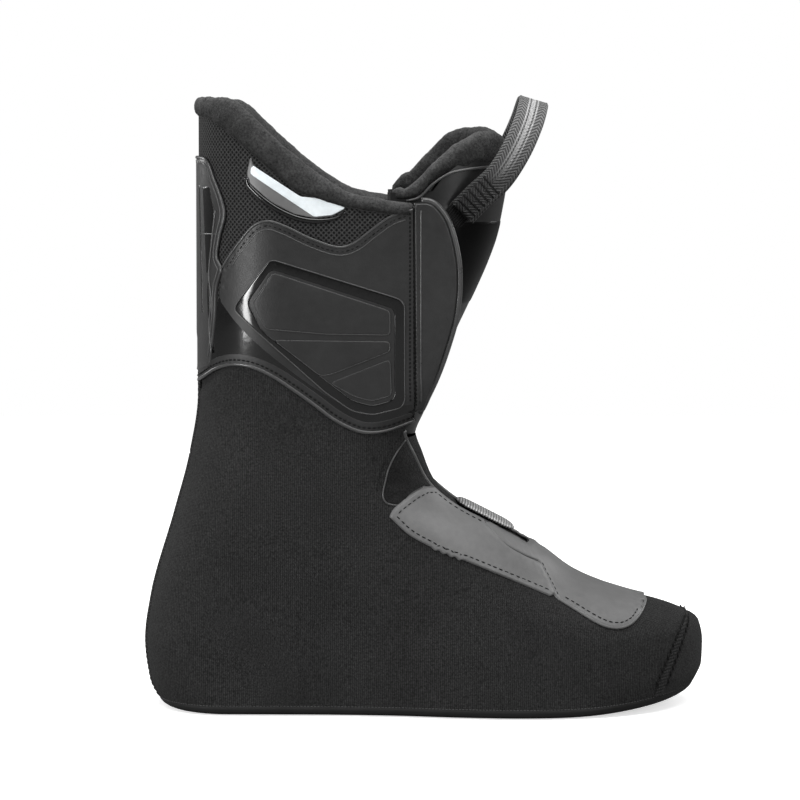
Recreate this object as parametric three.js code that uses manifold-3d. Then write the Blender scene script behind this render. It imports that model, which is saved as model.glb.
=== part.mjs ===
// Alpine ski-boot liner (the soft inner boot), right foot.
// Millimetres, +Z up, toe towards +X, outer (lateral) side towards -Y. The origin is on the
// ground under mid-length. The boot is a stack of walls that follow one last-shaped surface:
// a wall runs between two insets T, measured inwards from the outside of the upper.
import * as THREE from 'three';
import { mergeVertices } from 'three/addons/utils/BufferGeometryUtils.js';
import Module from 'manifold-3d';

const wasm = await Module();
wasm.setup();

// ---- overall sizes; the patterns below are drawn at the base size and graded to these ----
const LENGTH = 285;
const HEIGHT = 311;
const FOREFOOT_WIDTH = 101;
const HEEL_WIDTH = 74;
const ANKLE_WIDTH = 79;
const CUFF_WIDTH = 104;
const BASE_LENGTH = 285;
const BASE_HEIGHT = 311;

// ---- sheet and padding thicknesses ----
const GAP = 0.3;
const SOLE = 4.3;
const BOARD = 1.6;
const FOOTBED = 4;
const SKIN = 1;
const COUNTER = 1.4;
const FOAM = 5.2;
const LINING = 0.9;
const PAD = 2;
const OVERLAY = 0.9;
const TAPE = 0.5;
const TOE_TAPE_WIDTH = 7;
const HEEL_TAPE_WIDTH = 18;
const LABEL_FILM = 0.6;
const SPINE_RAISE = 0.8;
const PLATE_RAISE = 0.9;
const FRAME_RAISE = 1.1;
const FLAP_FOAM = 3;
const PIPING = 1.4;
const TONGUE_FOAM = 6;
const WEBBING = 1.6;
const WEBBING_WIDTH = 15;
const LOOP_INSET = 1.5;
const TONGUE_CLEARANCE = 1;
const FOOTBED_CLEARANCE = 1.5;
const ROLL_SEAT = 0.8;

// ---- places on the base size ----
const STITCH_X = -6.6;
const BASE_TONGUE_FOOT = 139.3;
const LOOP_ROOT = [17.5, 252.5];

const ROUND = { back: 4, side: 3, front: 5 };

const along = LENGTH / BASE_LENGTH;
const up = HEIGHT / BASE_HEIGHT;
const TONGUE_FOOT_Z = BASE_TONGUE_FOOT * up;
const { lerp, smoothstep, clamp } = THREE.MathUtils;
const graded = ([x, z]) => [x * along, z * up];

const colours = {
  textile: [0x262629, 0.85],
  leather: [0x6e6e70, 0.6],
  plate: [0x36363a, 0.55],
  gloss: [0x131315, 0.25],
  mesh: [0x101012, 0.8],
  fleece: [0x414145, 0.95],
  foam: [0x2b2b2e, 0.9],
  rubber: [0x232325, 0.8],
  webbing: [0x1a1a1c, 0.7],
  silver: [0x9a9a9c, 0.5],
  label: [0xe4e8ea, 0.5],
  board: [0x6f6a60, 0.9],
};
const boot = new THREE.Group();
boot.name = 'ski_boot_liner';

// ---- curves of the last ----

// Smooth monotone curve through [t, value] pairs, flat beyond its ends.
function curve(points) {
  const last = points.length - 1;
  const slope = (i) => (points[i + 1][1] - points[i][1]) / (points[i + 1][0] - points[i][0]);
  const tangents = points.map((point, i) => {
    if (i === 0) return slope(0);
    if (i === last) return slope(last - 1);
    const before = slope(i - 1);
    const after = slope(i);
    return before * after <= 0 ? 0 : (2 * before * after) / (before + after);
  });
  return (t) => {
    if (t <= points[0][0]) return points[0][1];
    if (t >= points[last][0]) return points[last][1];
    const i = points.findIndex((point) => point[0] > t) - 1;
    const width = points[i + 1][0] - points[i][0];
    const s = (t - points[i][0]) / width;
    const rise = points[i + 1][1] - points[i][1];
    const start = tangents[i] * width;
    const end = tangents[i + 1] * width;
    const square = s * s * (3 * rise - 2 * start - end);
    return points[i][1] + s * start + square + s * s * s * (start + end - 2 * rise);
  };
}

const backLine = curve([
  [0, -134], [14, -141], [34, -143.4], [56, -140.5], [100, -128], [130, -120], [160, -115.6],
  [311, -115.2],
]);
const frontLine = curve([
  [0, 133], [6, 138], [14, 141.6], [25, 142], [35, 140], [40, 135], [46, 125], [53, 108], [61, 88.5],
  [68, 75], [80, 59], [92.5, 38.8], [105, 17], [117, 5], [129, 0], [142, -4], [150, 6], [160, 20],
  [175, 40], [200, 60], [250, 80],
]);
const backRound = curve([[0, 34], [60, 35], [110, 38], [170, 45], [311, 46]]);
const frontRound = curve([[0, 62], [35, 64], [60, 68], [90, 54], [120, 42], [142, 31], [160, 36], [200, 50]]);
const outerPlan = curve([[-143, 1], [-60, 1.03], [-20, 1.1], [20, 1.27], [50, 1.34], [80, 1.3], [142, 1.12]]);
const innerPlan = curve([
  [-143, 1], [-60, 0.95], [-20, 0.93], [20, 1.14], [60, 1.37], [90, 1.33], [142, 1.16],
]);
const legWidth = curve([[80, 0], [142, 0.03], [160, 0.12], [200, 0.6], [250, 0.9], [311, 1]]);
const throatShare = curve([[84, 0.4], [120, 0.6], [145, 0.82], [160, 0.89], [175, 0.96], [200, 1]]);
const TOE_SPRING = 7;
const TOE_SWING = 8;

const T_FOAM = SKIN + GAP;
const T_LINING = T_FOAM + FOAM + GAP;
const T_CAVITY = T_LINING + LINING;
const UPPER_FOOT = SOLE + GAP;
const INNER_FOOT = UPPER_FOOT + BOARD + GAP;

const legHalf = (z) => lerp(ANKLE_WIDTH, CUFF_WIDTH, legWidth(z / up)) / 2;
const throatHalf = (z) => (legHalf(z) - T_CAVITY) * throatShare(z / up);
const swing = (x) => TOE_SWING * clamp((x / along - 20) / 122, 0, 1) ** 2;
const spring = (x) => TOE_SPRING * clamp((x / along - 60) / 80, 0, 1) ** 2;

// Half-width of the last at x on one side; side is -1 outer, +1 inner.
function halfWidth(x, z, side) {
  const plan = side < 0 ? outerPlan(x / along) : innerPlan(x / along);
  const forefoot = smoothstep(x / along, -60, 50);
  const base = (lerp(HEEL_WIDTH, FOREFOOT_WIDTH / 1.355, forefoot) / 2) * plan;
  return lerp(base, legHalf(z), smoothstep(z / up, 25, 112));
}

// Point of the last's surface at height z and inset; share runs 0 (back) to 1 (front).
function lastPoint(z, inset, side, share) {
  const level = z / up;
  const run = Math.abs(frontLine(level + 1) - frontLine(level - 1)) / 2;
  const slant = Math.min(Math.hypot(1, (run * along) / up), 3.4);
  const backRadius = backRound(level) * along;
  const frontRadius = frontRound(level) * along;
  const backCentre = backLine(level) * along + backRadius;
  const frontCentre = frontLine(level) * along - frontRadius;
  const total = ROUND.back + ROUND.side + ROUND.front;
  const step = share * total;
  let x;
  let fullness = 1;
  if (step <= ROUND.back) {
    const turn = (step / ROUND.back) * (Math.PI / 2);
    x = backCentre - (backRadius - inset) * Math.cos(turn);
    fullness = Math.sin(turn);
  } else if (step < ROUND.back + ROUND.side) {
    x = lerp(backCentre, frontCentre, (step - ROUND.back) / ROUND.side);
  } else {
    const turn = ((total - step) / ROUND.front) * (Math.PI / 2);
    x = frontCentre + Math.max(frontRadius - slant * inset, 4) * Math.cos(turn);
    fullness = Math.sin(turn) ** 0.92;
  }
  const y = side * (halfWidth(x, z, side) - inset) * fullness + swing(x);
  return new THREE.Vector3(x, y, z + spring(x));
}

// Closed ring of points at one height: back, outer side, front, inner side.
function ring(z, inset) {
  const total = ROUND.back + ROUND.side + ROUND.front;
  const points = [];
  for (let i = 0; i <= total; i += 1) points.push(lastPoint(z, inset, -1, i / total));
  for (let i = total - 1; i > 0; i -= 1) points.push(lastPoint(z, inset, 1, i / total));
  return points;
}

// ---- solids ----

function geometry(positions, index) {
  const shape = new THREE.BufferGeometry();
  shape.setAttribute('position', new THREE.Float32BufferAttribute(positions, 3));
  shape.setIndex(index);
  return shape;
}

function solid(shape) {
  shape.deleteAttribute('normal');
  shape.deleteAttribute('uv');
  const merged = mergeVertices(shape, 1e-4);
  return new wasm.Manifold(new wasm.Mesh({
    numProp: 3,
    vertProperties: new Float32Array(merged.attributes.position.array),
    triVerts: new Uint32Array(merged.index.array),
  }));
}

// A wall between two matching grids of points: rows go up, columns go round anticlockwise.
function wall(outside, inside, closed) {
  const rows = outside.length;
  const columns = outside[0].length;
  const spans = closed ? columns : columns - 1;
  const index = [];
  const at = (face, row, column) => (face * rows + row) * columns + (column % columns);
  const quad = (a, b, c, d) => index.push(a, b, c, a, c, d);
  for (let i = 0; i < spans; i += 1) {
    for (let j = 0; j < rows - 1; j += 1) {
      quad(at(0, j, i), at(0, j, i + 1), at(0, j + 1, i + 1), at(0, j + 1, i));
      quad(at(1, j, i), at(1, j + 1, i), at(1, j + 1, i + 1), at(1, j, i + 1));
    }
    quad(at(0, 0, i + 1), at(0, 0, i), at(1, 0, i), at(1, 0, i + 1));
    quad(at(0, rows - 1, i), at(0, rows - 1, i + 1), at(1, rows - 1, i + 1), at(1, rows - 1, i));
  }
  for (let j = 0; j < rows - 1 && !closed; j += 1) {
    quad(at(0, j, 0), at(0, j + 1, 0), at(1, j + 1, 0), at(1, j, 0));
    quad(at(1, j, spans), at(1, j + 1, spans), at(0, j + 1, spans), at(0, j, spans));
  }
  const positions = [...outside.flat(), ...inside.flat()].flatMap((point) => point.toArray());
  return solid(geometry(positions, index));
}

// Full layer of the boot between two insets and through the given heights.
function layer(outerInset, innerInset, heights) {
  const rings = (inset) => heights.map((z) => ring(z, inset));
  return wall(rings(outerInset), rings(innerInset), true);
}

// Flat-lying piece that fills the ring: outsole, board or footbed.
function slab(rings) {
  const columns = rings[0].length;
  const half = columns / 2;
  const index = [];
  const quad = (a, b, c, d) => index.push(a, b, c, a, c, d);
  const top = (rings.length - 1) * columns;
  rings.slice(1).forEach((points, j) => {
    points.forEach((point, i) => {
      const next = (i + 1) % columns;
      quad(j * columns + i, j * columns + next, (j + 1) * columns + next, (j + 1) * columns + i);
    });
  });
  for (let i = 0; i < half; i += 1) {
    const far = (columns - i) % columns;
    quad(i, far, columns - i - 1, i + 1);
    quad(top + i, top + i + 1, top + columns - i - 1, top + far);
  }
  const kept = [];
  for (let i = 0; i < index.length; i += 3) {
    const [a, b, c] = index.slice(i, i + 3);
    if (a !== b && b !== c && c !== a) kept.push(a, b, c);
  }
  return solid(geometry(rings.flat().flatMap((point) => point.toArray()), kept));
}

function lineShape(points) {
  return new THREE.Shape(points.map(([a, b]) => new THREE.Vector2(a, b)));
}

// Outline through graded side-view points, pushed outwards by margin.
function grown(points, margin) {
  const corners = points.map(graded);
  const turn = Math.sign(THREE.ShapeUtils.area(corners.map(([x, y]) => ({ x, y }))));
  return corners.map((corner, i) => {
    const before = corners[(i + corners.length - 1) % corners.length];
    const after = corners[(i + 1) % corners.length];
    const edge = (from, to) => {
      const length = Math.hypot(to[0] - from[0], to[1] - from[1]);
      return [(turn * (to[1] - from[1])) / length, (-turn * (to[0] - from[0])) / length];
    };
    const first = edge(before, corner);
    const second = edge(corner, after);
    const share = Math.max(1 + first[0] * second[0] + first[1] * second[1], 0.4);
    return [
      corner[0] + (margin * (first[0] + second[0])) / share,
      corner[1] + (margin * (first[1] + second[1])) / share,
    ];
  });
}

// Prism through a side-view outline; side -1 outer half, +1 inner half, 0 the full width.
const REACH = 120;
const SPLIT = GAP / 2;
function sideCut(points, side = 0, margin = 0) {
  const depth = side === 0 ? 2 * REACH : REACH - SPLIT;
  const shape = new THREE.ExtrudeGeometry(lineShape(grown(points, margin)), { depth, bevelEnabled: false });
  shape.rotateX(Math.PI / 2);
  shape.translate(0, side < 0 ? -SPLIT : REACH, 0);
  return solid(shape);
}

// Prism along X through a front-view outline given as [half-width, height] pairs.
function frontCut(pairs, fromX, toX) {
  const outline = [...pairs.map(([y, z]) => [-z, -y]), ...[...pairs].reverse().map(([y, z]) => [-z, y])];
  const shape = new THREE.ExtrudeGeometry(lineShape(outline), { depth: toX - fromX, bevelEnabled: false });
  shape.rotateY(Math.PI / 2);
  shape.translate(fromX, 0, 0);
  return solid(shape);
}

// Closed loft through matching rings, with flat fans over both ends.
function loft(rings) {
  const columns = rings[0].length;
  const index = [];
  for (let j = 0; j < rings.length - 1; j += 1) {
    for (let i = 0; i < columns; i += 1) {
      const next = (i + 1) % columns;
      const low = j * columns;
      index.push(low + i, low + next, low + columns + next, low + i, low + columns + next, low + columns + i);
    }
  }
  const top = (rings.length - 1) * columns;
  for (let i = 1; i < columns - 1; i += 1) {
    index.push(0, i + 1, i);
    index.push(top, top + i, top + i + 1);
  }
  return solid(geometry(rings.flat().flatMap((point) => point.toArray()), index));
}

function add(name, kind, manifold) {
  const { vertProperties, triVerts } = manifold.getMesh();
  const [colour, roughness] = colours[kind];
  const material = new THREE.MeshStandardMaterial({ color: colour, roughness, metalness: 0 });
  const piece = new THREE.Mesh(geometry([...vertProperties], [...triVerts]), material);
  piece.name = name;
  boot.add(piece);
}

const SIDES = [['lateral', -1], ['medial', 1]];

// ---- side-view patterns on the base size, as [x, z] ----

const CUFF_EDGE = [
  [-122, 168], [-108, 174.5], [-97, 178], [-87, 177], [-75, 172], [-62, 163.5], [-47.5, 153], [-35, 146.5],
  [-26, 145], [-15, 146.5], [-6, 148.5],
];
const ROLL_EDGE = [
  [-122, 301], [-111, 299.6], [-101, 293.5], [-87, 281.5], [-64, 263], [-53, 259], [-40, 255.5],
  [-20, 252], [0, 251],
];
const ROLL_CREST = [
  [-122, 309.5], [-106, 311], [-96, 309], [-87, 301], [-69.5, 284.8], [-58, 275.5], [-46.5, 267.5],
  [-38, 263], [-17, 259], [0, 257],
];
const SPINE = [
  [-125, 283], [-109, 278.5], [-99.8, 253], [-102.5, 240], [-103.8, 230], [-101.5, 224.5], [-104, 215],
  [-105, 200], [-108, 174.8], [-125, 166.5],
];
const PANEL_TOP = [
  [-101.2, 224.8], [-94, 236], [-85, 246.6], [-78, 248.8], [-70, 246.4], [-57, 240.2], [-43.5, 236],
  [-36, 238], [-28, 244], [-18, 252.5],
];
const PLATE_EDGE = [
  [-104.5, 214], [-103, 208], [-91.5, 195], [-76.5, 181.4], [-57, 166.5], [-42.5, 158], [-28, 154.6],
  [-6, 157.5],
];
const LABEL = [
  [-85, 278], [-64, 260.8], [-53, 257.2], [-41.5, 254], [-55, 250.6], [-71, 256.5], [-86.4, 266],
  [-88.5, 271],
];
const FRAME = [
  [-77.7, 229.4], [-12.6, 209.5], [-11.4, 160], [-19, 154.4], [-29, 152.8], [-38, 156.5], [-95, 205.4],
];
const FRAME_WINDOW = [
  [-76.5, 224], [-16.4, 205.2], [-16, 161], [-27, 157.6], [-36.5, 160.5], [-81, 195.5], [-88, 207.4],
];
const FLAP = [
  [-2.6, 153.6], [1.2, 161], [7.2, 172.6], [13.3, 188], [16.9, 201], [18.4, 216], [17.4, 231], [12.3, 248.5],
  [6, 255.6], [1, 257.6],
];
const ANKLE_WINDOW = [
  [14, 147], [-6, 143.4], [-15, 133], [-19.8, 121], [-21.9, 111.8], [-20.2, 107.6], [-15.2, 106],
  [-6.9, 112], [-1.3, 114.4], [5, 113.4], [16, 106], [22, 120],
];
const OVERLAY_SEAM = [[27.5, 95.5], [38.5, 85.6], [56, 76], [63.3, 60.8]];
const REAR_OVERLAY = [
  [-18.6, 100.7], [-15.2, 106], [-6.9, 112], [-1.3, 114.4], [5, 113.4], [16, 106], ...OVERLAY_SEAM,
  [61.8, 60.4], [43, 68.6], [20.8, 78.1], [4.2, 84.8], [-9.1, 92],
];
const FRONT_OVERLAY = [
  ...[...OVERLAY_SEAM].reverse(), [45, 110], [120, 110], [114, 62], [110, 54], [105, 48.3], [97, 44.8],
  [89.4, 45.8], [76.2, 52.7], [65.1, 59.3],
];
const TOE_SEAM = [[150, 88], [143.5, 72], [135, 50], [121.5, 13.8], [118, 0]];
const COUNTER_PIECE = [[-160, 10], [-88, 10], [-76, 26], [-84, 52], [-100, 84], [-160, 84]];
const ANKLE_PAD = [[-88, 70], [-70, 62], [-54, 70], [-48, 88], [-56, 106], [-72, 112], [-87, 104], [-93, 87]];
const ACHILLES_PAD = [
  [-135, 116], [-106, 116], [-101, 140], [-99, 172], [-99, 206], [-104, 226], [-135, 226],
];
const STIFFENER = [[-135, 184], [-104, 184], [-99, 214], [-99, 256], [-104, 272], [-135, 272]];
const TONGUE_BACK = [[-70, 130], [-28, 138], [-32, 160], [-31, 200], [-26, 235], [-18, 258]];
const TONGUE_CREST = [
  [-9, 272], [4, 285.5], [14, 292.5], [25, 295], [36, 293.5], [43, 288.5], [60, 280], [60, 130],
];
const FLEECE_EDGE = [[-18, 258], [-4, 259.6], [2.6, 266.5], [10.7, 272], [19.4, 274], [31, 275], [60, 275]];
const INSERT = [[20, 249], [34, 246.5], [60, 244], [60, 215], [26, 216], [17.5, 209]];
const LOOP_TAB = [[5.5, 246.5], [15.5, 244.5], [25.5, 253], [17.5, 262]];
const LOOP_LINE = [LOOP_ROOT, [26, 260.5], [37, 270], [46, 283], [52.5, 297], [56, 308]];

// Height of a pattern line above x, straight between its points.
function edgeHeight(points) {
  const line = points.map(graded);
  return (x) => {
    const i = clamp(line.findIndex((point) => point[0] > x) - 1, 0, line.length - 2);
    return lerp(line[i][1], line[i + 1][1], (x - line[i][0]) / (line[i + 1][0] - line[i][0]));
  };
}

const below = (points) => [...points, [REACH * 2, points.at(-1)[1]], [REACH * 2, -90], [-REACH * 2, -90]]
  .concat([[-REACH * 2, points[0][1]]]);
const above = (points) => [...points, [REACH * 2, points.at(-1)[1]], [REACH * 2, 600], [-REACH * 2, 600]]
  .concat([[-REACH * 2, points[0][1]]]);

const stitch = STITCH_X / along;

// ---- heights at which the walls have their rings, on the base size ----

const LEVELS = [16, 34, 42, 50, 61, 76, 94, 116, 142, 188].map((z) => z * up);
const CUFF_LEVELS = [138, 151, 165, 184, 208, 238, 272, 318].map((z) => z * up);

function footLayer(outer, inner, floor) {
  const heights = [UPPER_FOOT, INNER_FOOT, ...LEVELS].filter((z) => z >= floor);
  return layer(outer, inner, heights);
}
const cuffLayer = (outer, inner) => layer(outer, inner, CUFF_LEVELS);

// The throat: the opening in front that the tongue fills, as a front-view prism.
const THROAT_LEVELS = [84, 104, 120, 133, 145, 152, 160, 175, 188, 200, 250, 330].map((z) => z * up);
function throat(margin, fromX, toX) {
  const pairs = THROAT_LEVELS.map((z) => [throatHalf(z) + margin, z]);
  pairs[0][1] -= margin;
  return frontCut(pairs, fromX, toX);
}

// ---- collar: pairs give the section as shares of the wall and of the roll's height ----

const COLLAR_ROLL = [
  [0, 0], [1, 0], [1.12, 0.3], [0.95, 0.66], [0.6, 0.93], [0.2, 1], [-0.08, 0.72], [-0.14, 0.3],
];
const COLLAR_SPACE = [[-0.6, 0], [1.7, 0], [1.7, 14], [-0.6, 14]];

// Loft of a section along the top edge of the cuff, from the outer front round to the inner front.
function collarLoft(section, seat, overrun) {
  const low = edgeHeight(ROLL_EDGE);
  const crest = edgeHeight(ROLL_CREST);
  const outer = -0.6;
  const inner = T_CAVITY + 0.4;
  const total = 12;
  const stop = frontShareAt(STITCH_X - GAP, 252 * up);
  const shares = [];
  for (let i = 0; i <= total; i += 1) shares.push((i / total) ** 1.1 * stop);
  if (overrun) shares.push(stop + 0.05);
  const station = (share, side) => {
    const foot = (inset) => lastPoint(260 * up, inset, side, share);
    const outerFoot = foot(outer).x;
    const innerFoot = foot(inner).x;
    const base = [low(outerFoot), low(innerFoot)];
    const height = Math.max(crest(outerFoot) - base[0], 4);
    return section.map(([across, high]) => {
      const z = lerp(base[0], base[1], across) + seat + height * high;
      return lastPoint(z, lerp(outer, inner, across), side, share).setZ(z);
    });
  };
  const medial = shares.slice(1).map((share) => station(share, 1)).reverse();
  return loft([...medial, ...shares.map((share) => station(share, -1))]);
}

const underCuff = sideCut(below(CUFF_EDGE), 0, -SPLIT);
const overCuff = sideCut(above(CUFF_EDGE), 0, -SPLIT).subtract(collarLoft(COLLAR_SPACE, 0, 1));
const behindStitch = sideCut([[-REACH * 2, -90], [stitch, -90], [stitch, 600], [-REACH * 2, 600]], 0, -SPLIT);
const openThroat = throat(0, -60 * along, REACH * 2);

// ---- sole ----

function makeSole() {
  add('outsole', 'rubber', slab([ring(0, 3.4), ring(1.2, 1.4), ring(SOLE, 0)]));
  const boardTop = UPPER_FOOT + BOARD;
  add('lasting_board', 'board', slab([ring(UPPER_FOOT, T_FOAM + GAP), ring(boardTop, T_FOAM + GAP)]));
  const inset = T_CAVITY + FOOTBED_CLEARANCE;
  const footbedTop = INNER_FOOT + FOOTBED;
  add('footbed', 'foam', slab([ring(INNER_FOOT, inset), ring(footbedTop, inset)]));
}

// ---- skins of the foot part ----

function makeFootSkins() {
  const toeCut = sideCut([...TOE_SEAM, [REACH * 2, 0], [REACH * 2, 88]], 0, SPLIT);
  const toePiece = sideCut([...TOE_SEAM, [REACH * 2, 0], [REACH * 2, 88]], 0, -SPLIT);
  const skin = footLayer(0, SKIN, UPPER_FOOT).intersect(underCuff).subtract(openThroat);
  add('toe_cap', 'textile', skin.intersect(toePiece));
  const quarters = skin.subtract(toeCut);
  SIDES.forEach(([name, side]) => {
    const mine = splitBySwing(quarters, side);
    add(`lower_quarter_${name}`, 'textile', mine.subtract(sideCut(ANKLE_WINDOW, side, SPLIT)));
    add(`ankle_window_${name}`, 'mesh', mine.intersect(sideCut(ANKLE_WINDOW, side, -SPLIT)));
  });
}

// One half of a layer, parted along the swing of the toe.
function splitBySwing(whole, side) {
  const steps = [-200, 20, 50, 80, 110, 142, 200].map((x) => x * along);
  const seam = steps.map((x) => [x, swing(x) + (side * GAP) / 2]);
  const outline = [...seam, [steps.at(-1), side * REACH], [steps[0], side * REACH]];
  const shape = new THREE.ExtrudeGeometry(lineShape(outline), { depth: 800, bevelEnabled: false });
  shape.translate(0, 0, -100);
  return whole.intersect(solid(shape));
}

// ---- overlays on the foot part ----

function makeFootOverlays() {
  const overlay = footLayer(-GAP - OVERLAY, -GAP, UPPER_FOOT).subtract(openThroat);
  SIDES.forEach(([name, side]) => {
    add(`instep_overlay_${name}`, 'leather', overlay.intersect(sideCut(REAR_OVERLAY, side, -SPLIT)));
  });
  add('vamp_overlay', 'leather', overlay.intersect(sideCut(FRONT_OVERLAY, 0, -SPLIT)));
  const shifted = (distance) => TOE_SEAM.map(([x, z]) => [x + distance, z]);
  const tapeBand = [...shifted(TOE_TAPE_WIDTH / 2), ...shifted(-TOE_TAPE_WIDTH / 2).reverse()];
  const overSole = sideCut(above([[-200, 14], [200, 14]]));
  const tape = footLayer(-GAP - TAPE, -GAP, UPPER_FOOT).intersect(sideCut(tapeBand)).intersect(overSole);
  add('toe_seam_tape', 'textile', tape);
  const heel = footLayer(-GAP - OVERLAY, -GAP, UPPER_FOOT).intersect(underCuff);
  const strip = [[HEEL_TAPE_WIDTH / 2, UPPER_FOOT + GAP], [HEEL_TAPE_WIDTH / 2, 400 * up]];
  add('heel_seam_tape', 'textile', heel.intersect(frontCut(strip, -REACH * 2, -REACH / 2)));
}

// ---- padding inside the foot part ----

function makeFootPadding() {
  const counterCut = sideCut(COUNTER_PIECE);
  const counterOuter = T_FOAM + COUNTER;
  const innerPad = T_LINING - GAP;
  let foam = footLayer(T_FOAM, innerPad, INNER_FOOT).intersect(underCuff);
  const counterSpace = footLayer(0, counterOuter + GAP, UPPER_FOOT);
  foam = foam.subtract(counterSpace.intersect(sideCut(COUNTER_PIECE, 0, GAP)));
  foam = foam.subtract(throat(GAP, -60 * along, REACH * 2));
  add('heel_counter', 'board', footLayer(T_FOAM, counterOuter, INNER_FOOT).intersect(counterCut));
  const padLayer = footLayer(innerPad - PAD, innerPad, INNER_FOOT);
  const padSpace = footLayer(innerPad - PAD - GAP, T_CAVITY, INNER_FOOT);
  SIDES.forEach(([name, side]) => {
    add(`ankle_pad_${name}`, 'foam', padLayer.intersect(sideCut(ANKLE_PAD, side)));
  });
  add('achilles_pad', 'foam', padLayer.intersect(sideCut(ACHILLES_PAD)).intersect(underCuff));
  foam = foam.subtract(padSpace.intersect(sideCut(ANKLE_PAD, 0, GAP)));
  foam = foam.subtract(padSpace.intersect(sideCut(ACHILLES_PAD, 0, GAP)));
  const toeJoint = [[58, -90], [58, 600], [REACH * 2, 600], [REACH * 2, -90]];
  add('toe_box_foam', 'foam', foam.intersect(sideCut(toeJoint, 0, -SPLIT)));
  add('quarter_foam', 'foam', foam.subtract(sideCut(toeJoint, 0, SPLIT)));
  const lining = footLayer(T_LINING, T_CAVITY, INNER_FOOT).intersect(underCuff);
  add('foot_lining', 'textile', lining.subtract(throat(GAP, -60 * along, REACH * 2)));
}

// ---- tongue root under the instep ----

function makeTongueRoot() {
  const space = throat(-GAP, -60 * along, REACH * 2);
  const topZ = BASE_TONGUE_FOOT - GAP;
  const top = sideCut([[-REACH, 60], [REACH, 60], [REACH, topZ], [-REACH, topZ]]);
  const root = footLayer(SKIN, T_LINING, INNER_FOOT).intersect(space).intersect(top);
  add('tongue_root', 'foam', root.subtract(endRoll(GAP)));
  add('tongue_end_roll', 'silver', endRoll(0));
}

// ---- cuff ----

function makeCuff() {
  const spineCut = (margin) => sideCut(SPINE, 0, margin);
  const shell = cuffLayer(0, SKIN).intersect(overCuff).intersect(behindStitch).subtract(openThroat);
  const panelOutline = [[-130, 224.8], ...PANEL_TOP, [30, 262], [30, 90], [-130, 90]];
  const meshSide = shell.subtract(spineCut(SPLIT)).subtract(sideCut(panelOutline, 0, SPLIT));
  add('cuff_mesh', 'mesh', meshSide);
  add('rear_spine', 'plate', cuffLayer(-SPINE_RAISE, SKIN).intersect(spineCut(-SPLIT)).intersect(overCuff));
  const plateOutline = [...PLATE_EDGE, [30, 160], [30, 420], [-104.5, 420]];
  const raisedLayer = cuffLayer(-PLATE_RAISE, SKIN).intersect(overCuff);
  const raised = raisedLayer.intersect(behindStitch).subtract(openThroat);
  SIDES.forEach(([name, side]) => {
    const outline = sideCut(panelOutline, side, -SPLIT);
    const panel = raised.intersect(outline).subtract(spineCut(SPLIT));
    add(`cuff_panel_${name}`, 'plate', panel.intersect(sideCut(plateOutline, 0, -SPLIT)));
    const band = shell.intersect(outline).subtract(spineCut(SPLIT)).subtract(sideCut(plateOutline, 0, SPLIT));
    add(`cuff_band_${name}`, 'gloss', band);
    const frame = cuffLayer(-PLATE_RAISE - GAP - FRAME_RAISE, -PLATE_RAISE - GAP);
    const rim = frame.intersect(sideCut(FRAME, side)).subtract(sideCut(FRAME_WINDOW, side));
    add(`cuff_frame_${name}`, 'plate', rim);
    add(`collar_label_${name}`, 'label', cuffLayer(-GAP - LABEL_FILM, -GAP).intersect(sideCut(LABEL, side)));
  });
  makeCuffPadding();
}

function makeCuffPadding() {
  const padding = (outer, inner) => cuffLayer(outer, inner).intersect(overCuff).intersect(behindStitch);
  const stiffenerInner = T_FOAM + COUNTER;
  let foam = padding(T_FOAM, T_LINING - GAP).subtract(throat(GAP, -60 * along, REACH * 2));
  foam = foam.subtract(cuffLayer(0, stiffenerInner + GAP).intersect(sideCut(STIFFENER, 0, GAP)));
  add('spine_stiffener', 'board', cuffLayer(T_FOAM, stiffenerInner).intersect(sideCut(STIFFENER)));
  add('cuff_foam', 'foam', foam);
  const lining = padding(T_LINING, T_CAVITY).subtract(throat(GAP, -60 * along, REACH * 2));
  add('cuff_lining', 'fleece', lining);
}

// Share of the ring at which its side reaches x at a height.
function frontShareAt(x, z) {
  let from = 0;
  let to = 1;
  for (let i = 0; i < 30; i += 1) {
    const middle = (from + to) / 2;
    if (lastPoint(z, 0, -1, middle).x < x) from = middle;
    else to = middle;
  }
  return from;
}

// ---- front flaps, each hinged on its stitched line ----

function makeFlaps() {
  const outline = [[stitch, 153.4], ...FLAP, [stitch, 257.6]];
  const inner = T_FOAM + FLAP_FOAM;
  SIDES.forEach(([name, side]) => {
    const cut = sideCut(outline, side, -SPLIT);
    add(`flap_panel_${name}`, 'plate', cuffLayer(0, SKIN).intersect(cut).subtract(openThroat));
    add(`flap_padding_${name}`, 'foam', cuffLayer(T_FOAM, inner).intersect(cut).subtract(openThroat));
    const edge = grown(outline, PIPING + GAP + 0.25).slice(1, -1);
    add(`flap_piping_${name}`, 'gloss', piping(edge, inner / 2, side));
  });
}

// Round cord along the front edge of a flap.
function piping(edge, inset, side) {
  const points = edge.map(([x, z]) => {
    const station = lastPoint(z, inset, side, frontShareAt(x, z));
    return new THREE.Vector3(x, station.y, z);
  });
  const path = new THREE.CatmullRomCurve3(points);
  const section = new THREE.Shape().absarc(0, 0, PIPING, 0, 2 * Math.PI);
  return solid(new THREE.ExtrudeGeometry(section, {
    steps: 12, extrudePath: path, bevelEnabled: false, curveSegments: 3,
  }));
}

// ---- tongue ----

const crownLine = curve([
  [139, -3], [150, -1], [160, 2.6], [178, 9.7], [191, 14.8], [203, 20.4], [215, 26], [227, 31.2], [240, 35.8],
  [252, 38.5], [265, 40.6], [285, 41.8], [300, 41.8],
]);
const crownRound = curve([[139, 26], [160, 34], [200, 40], [300, 42]]);
const TONGUE_LEVELS = [139, 150, 164, 182, 205, 228, 248, 266, 281, 302];

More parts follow.
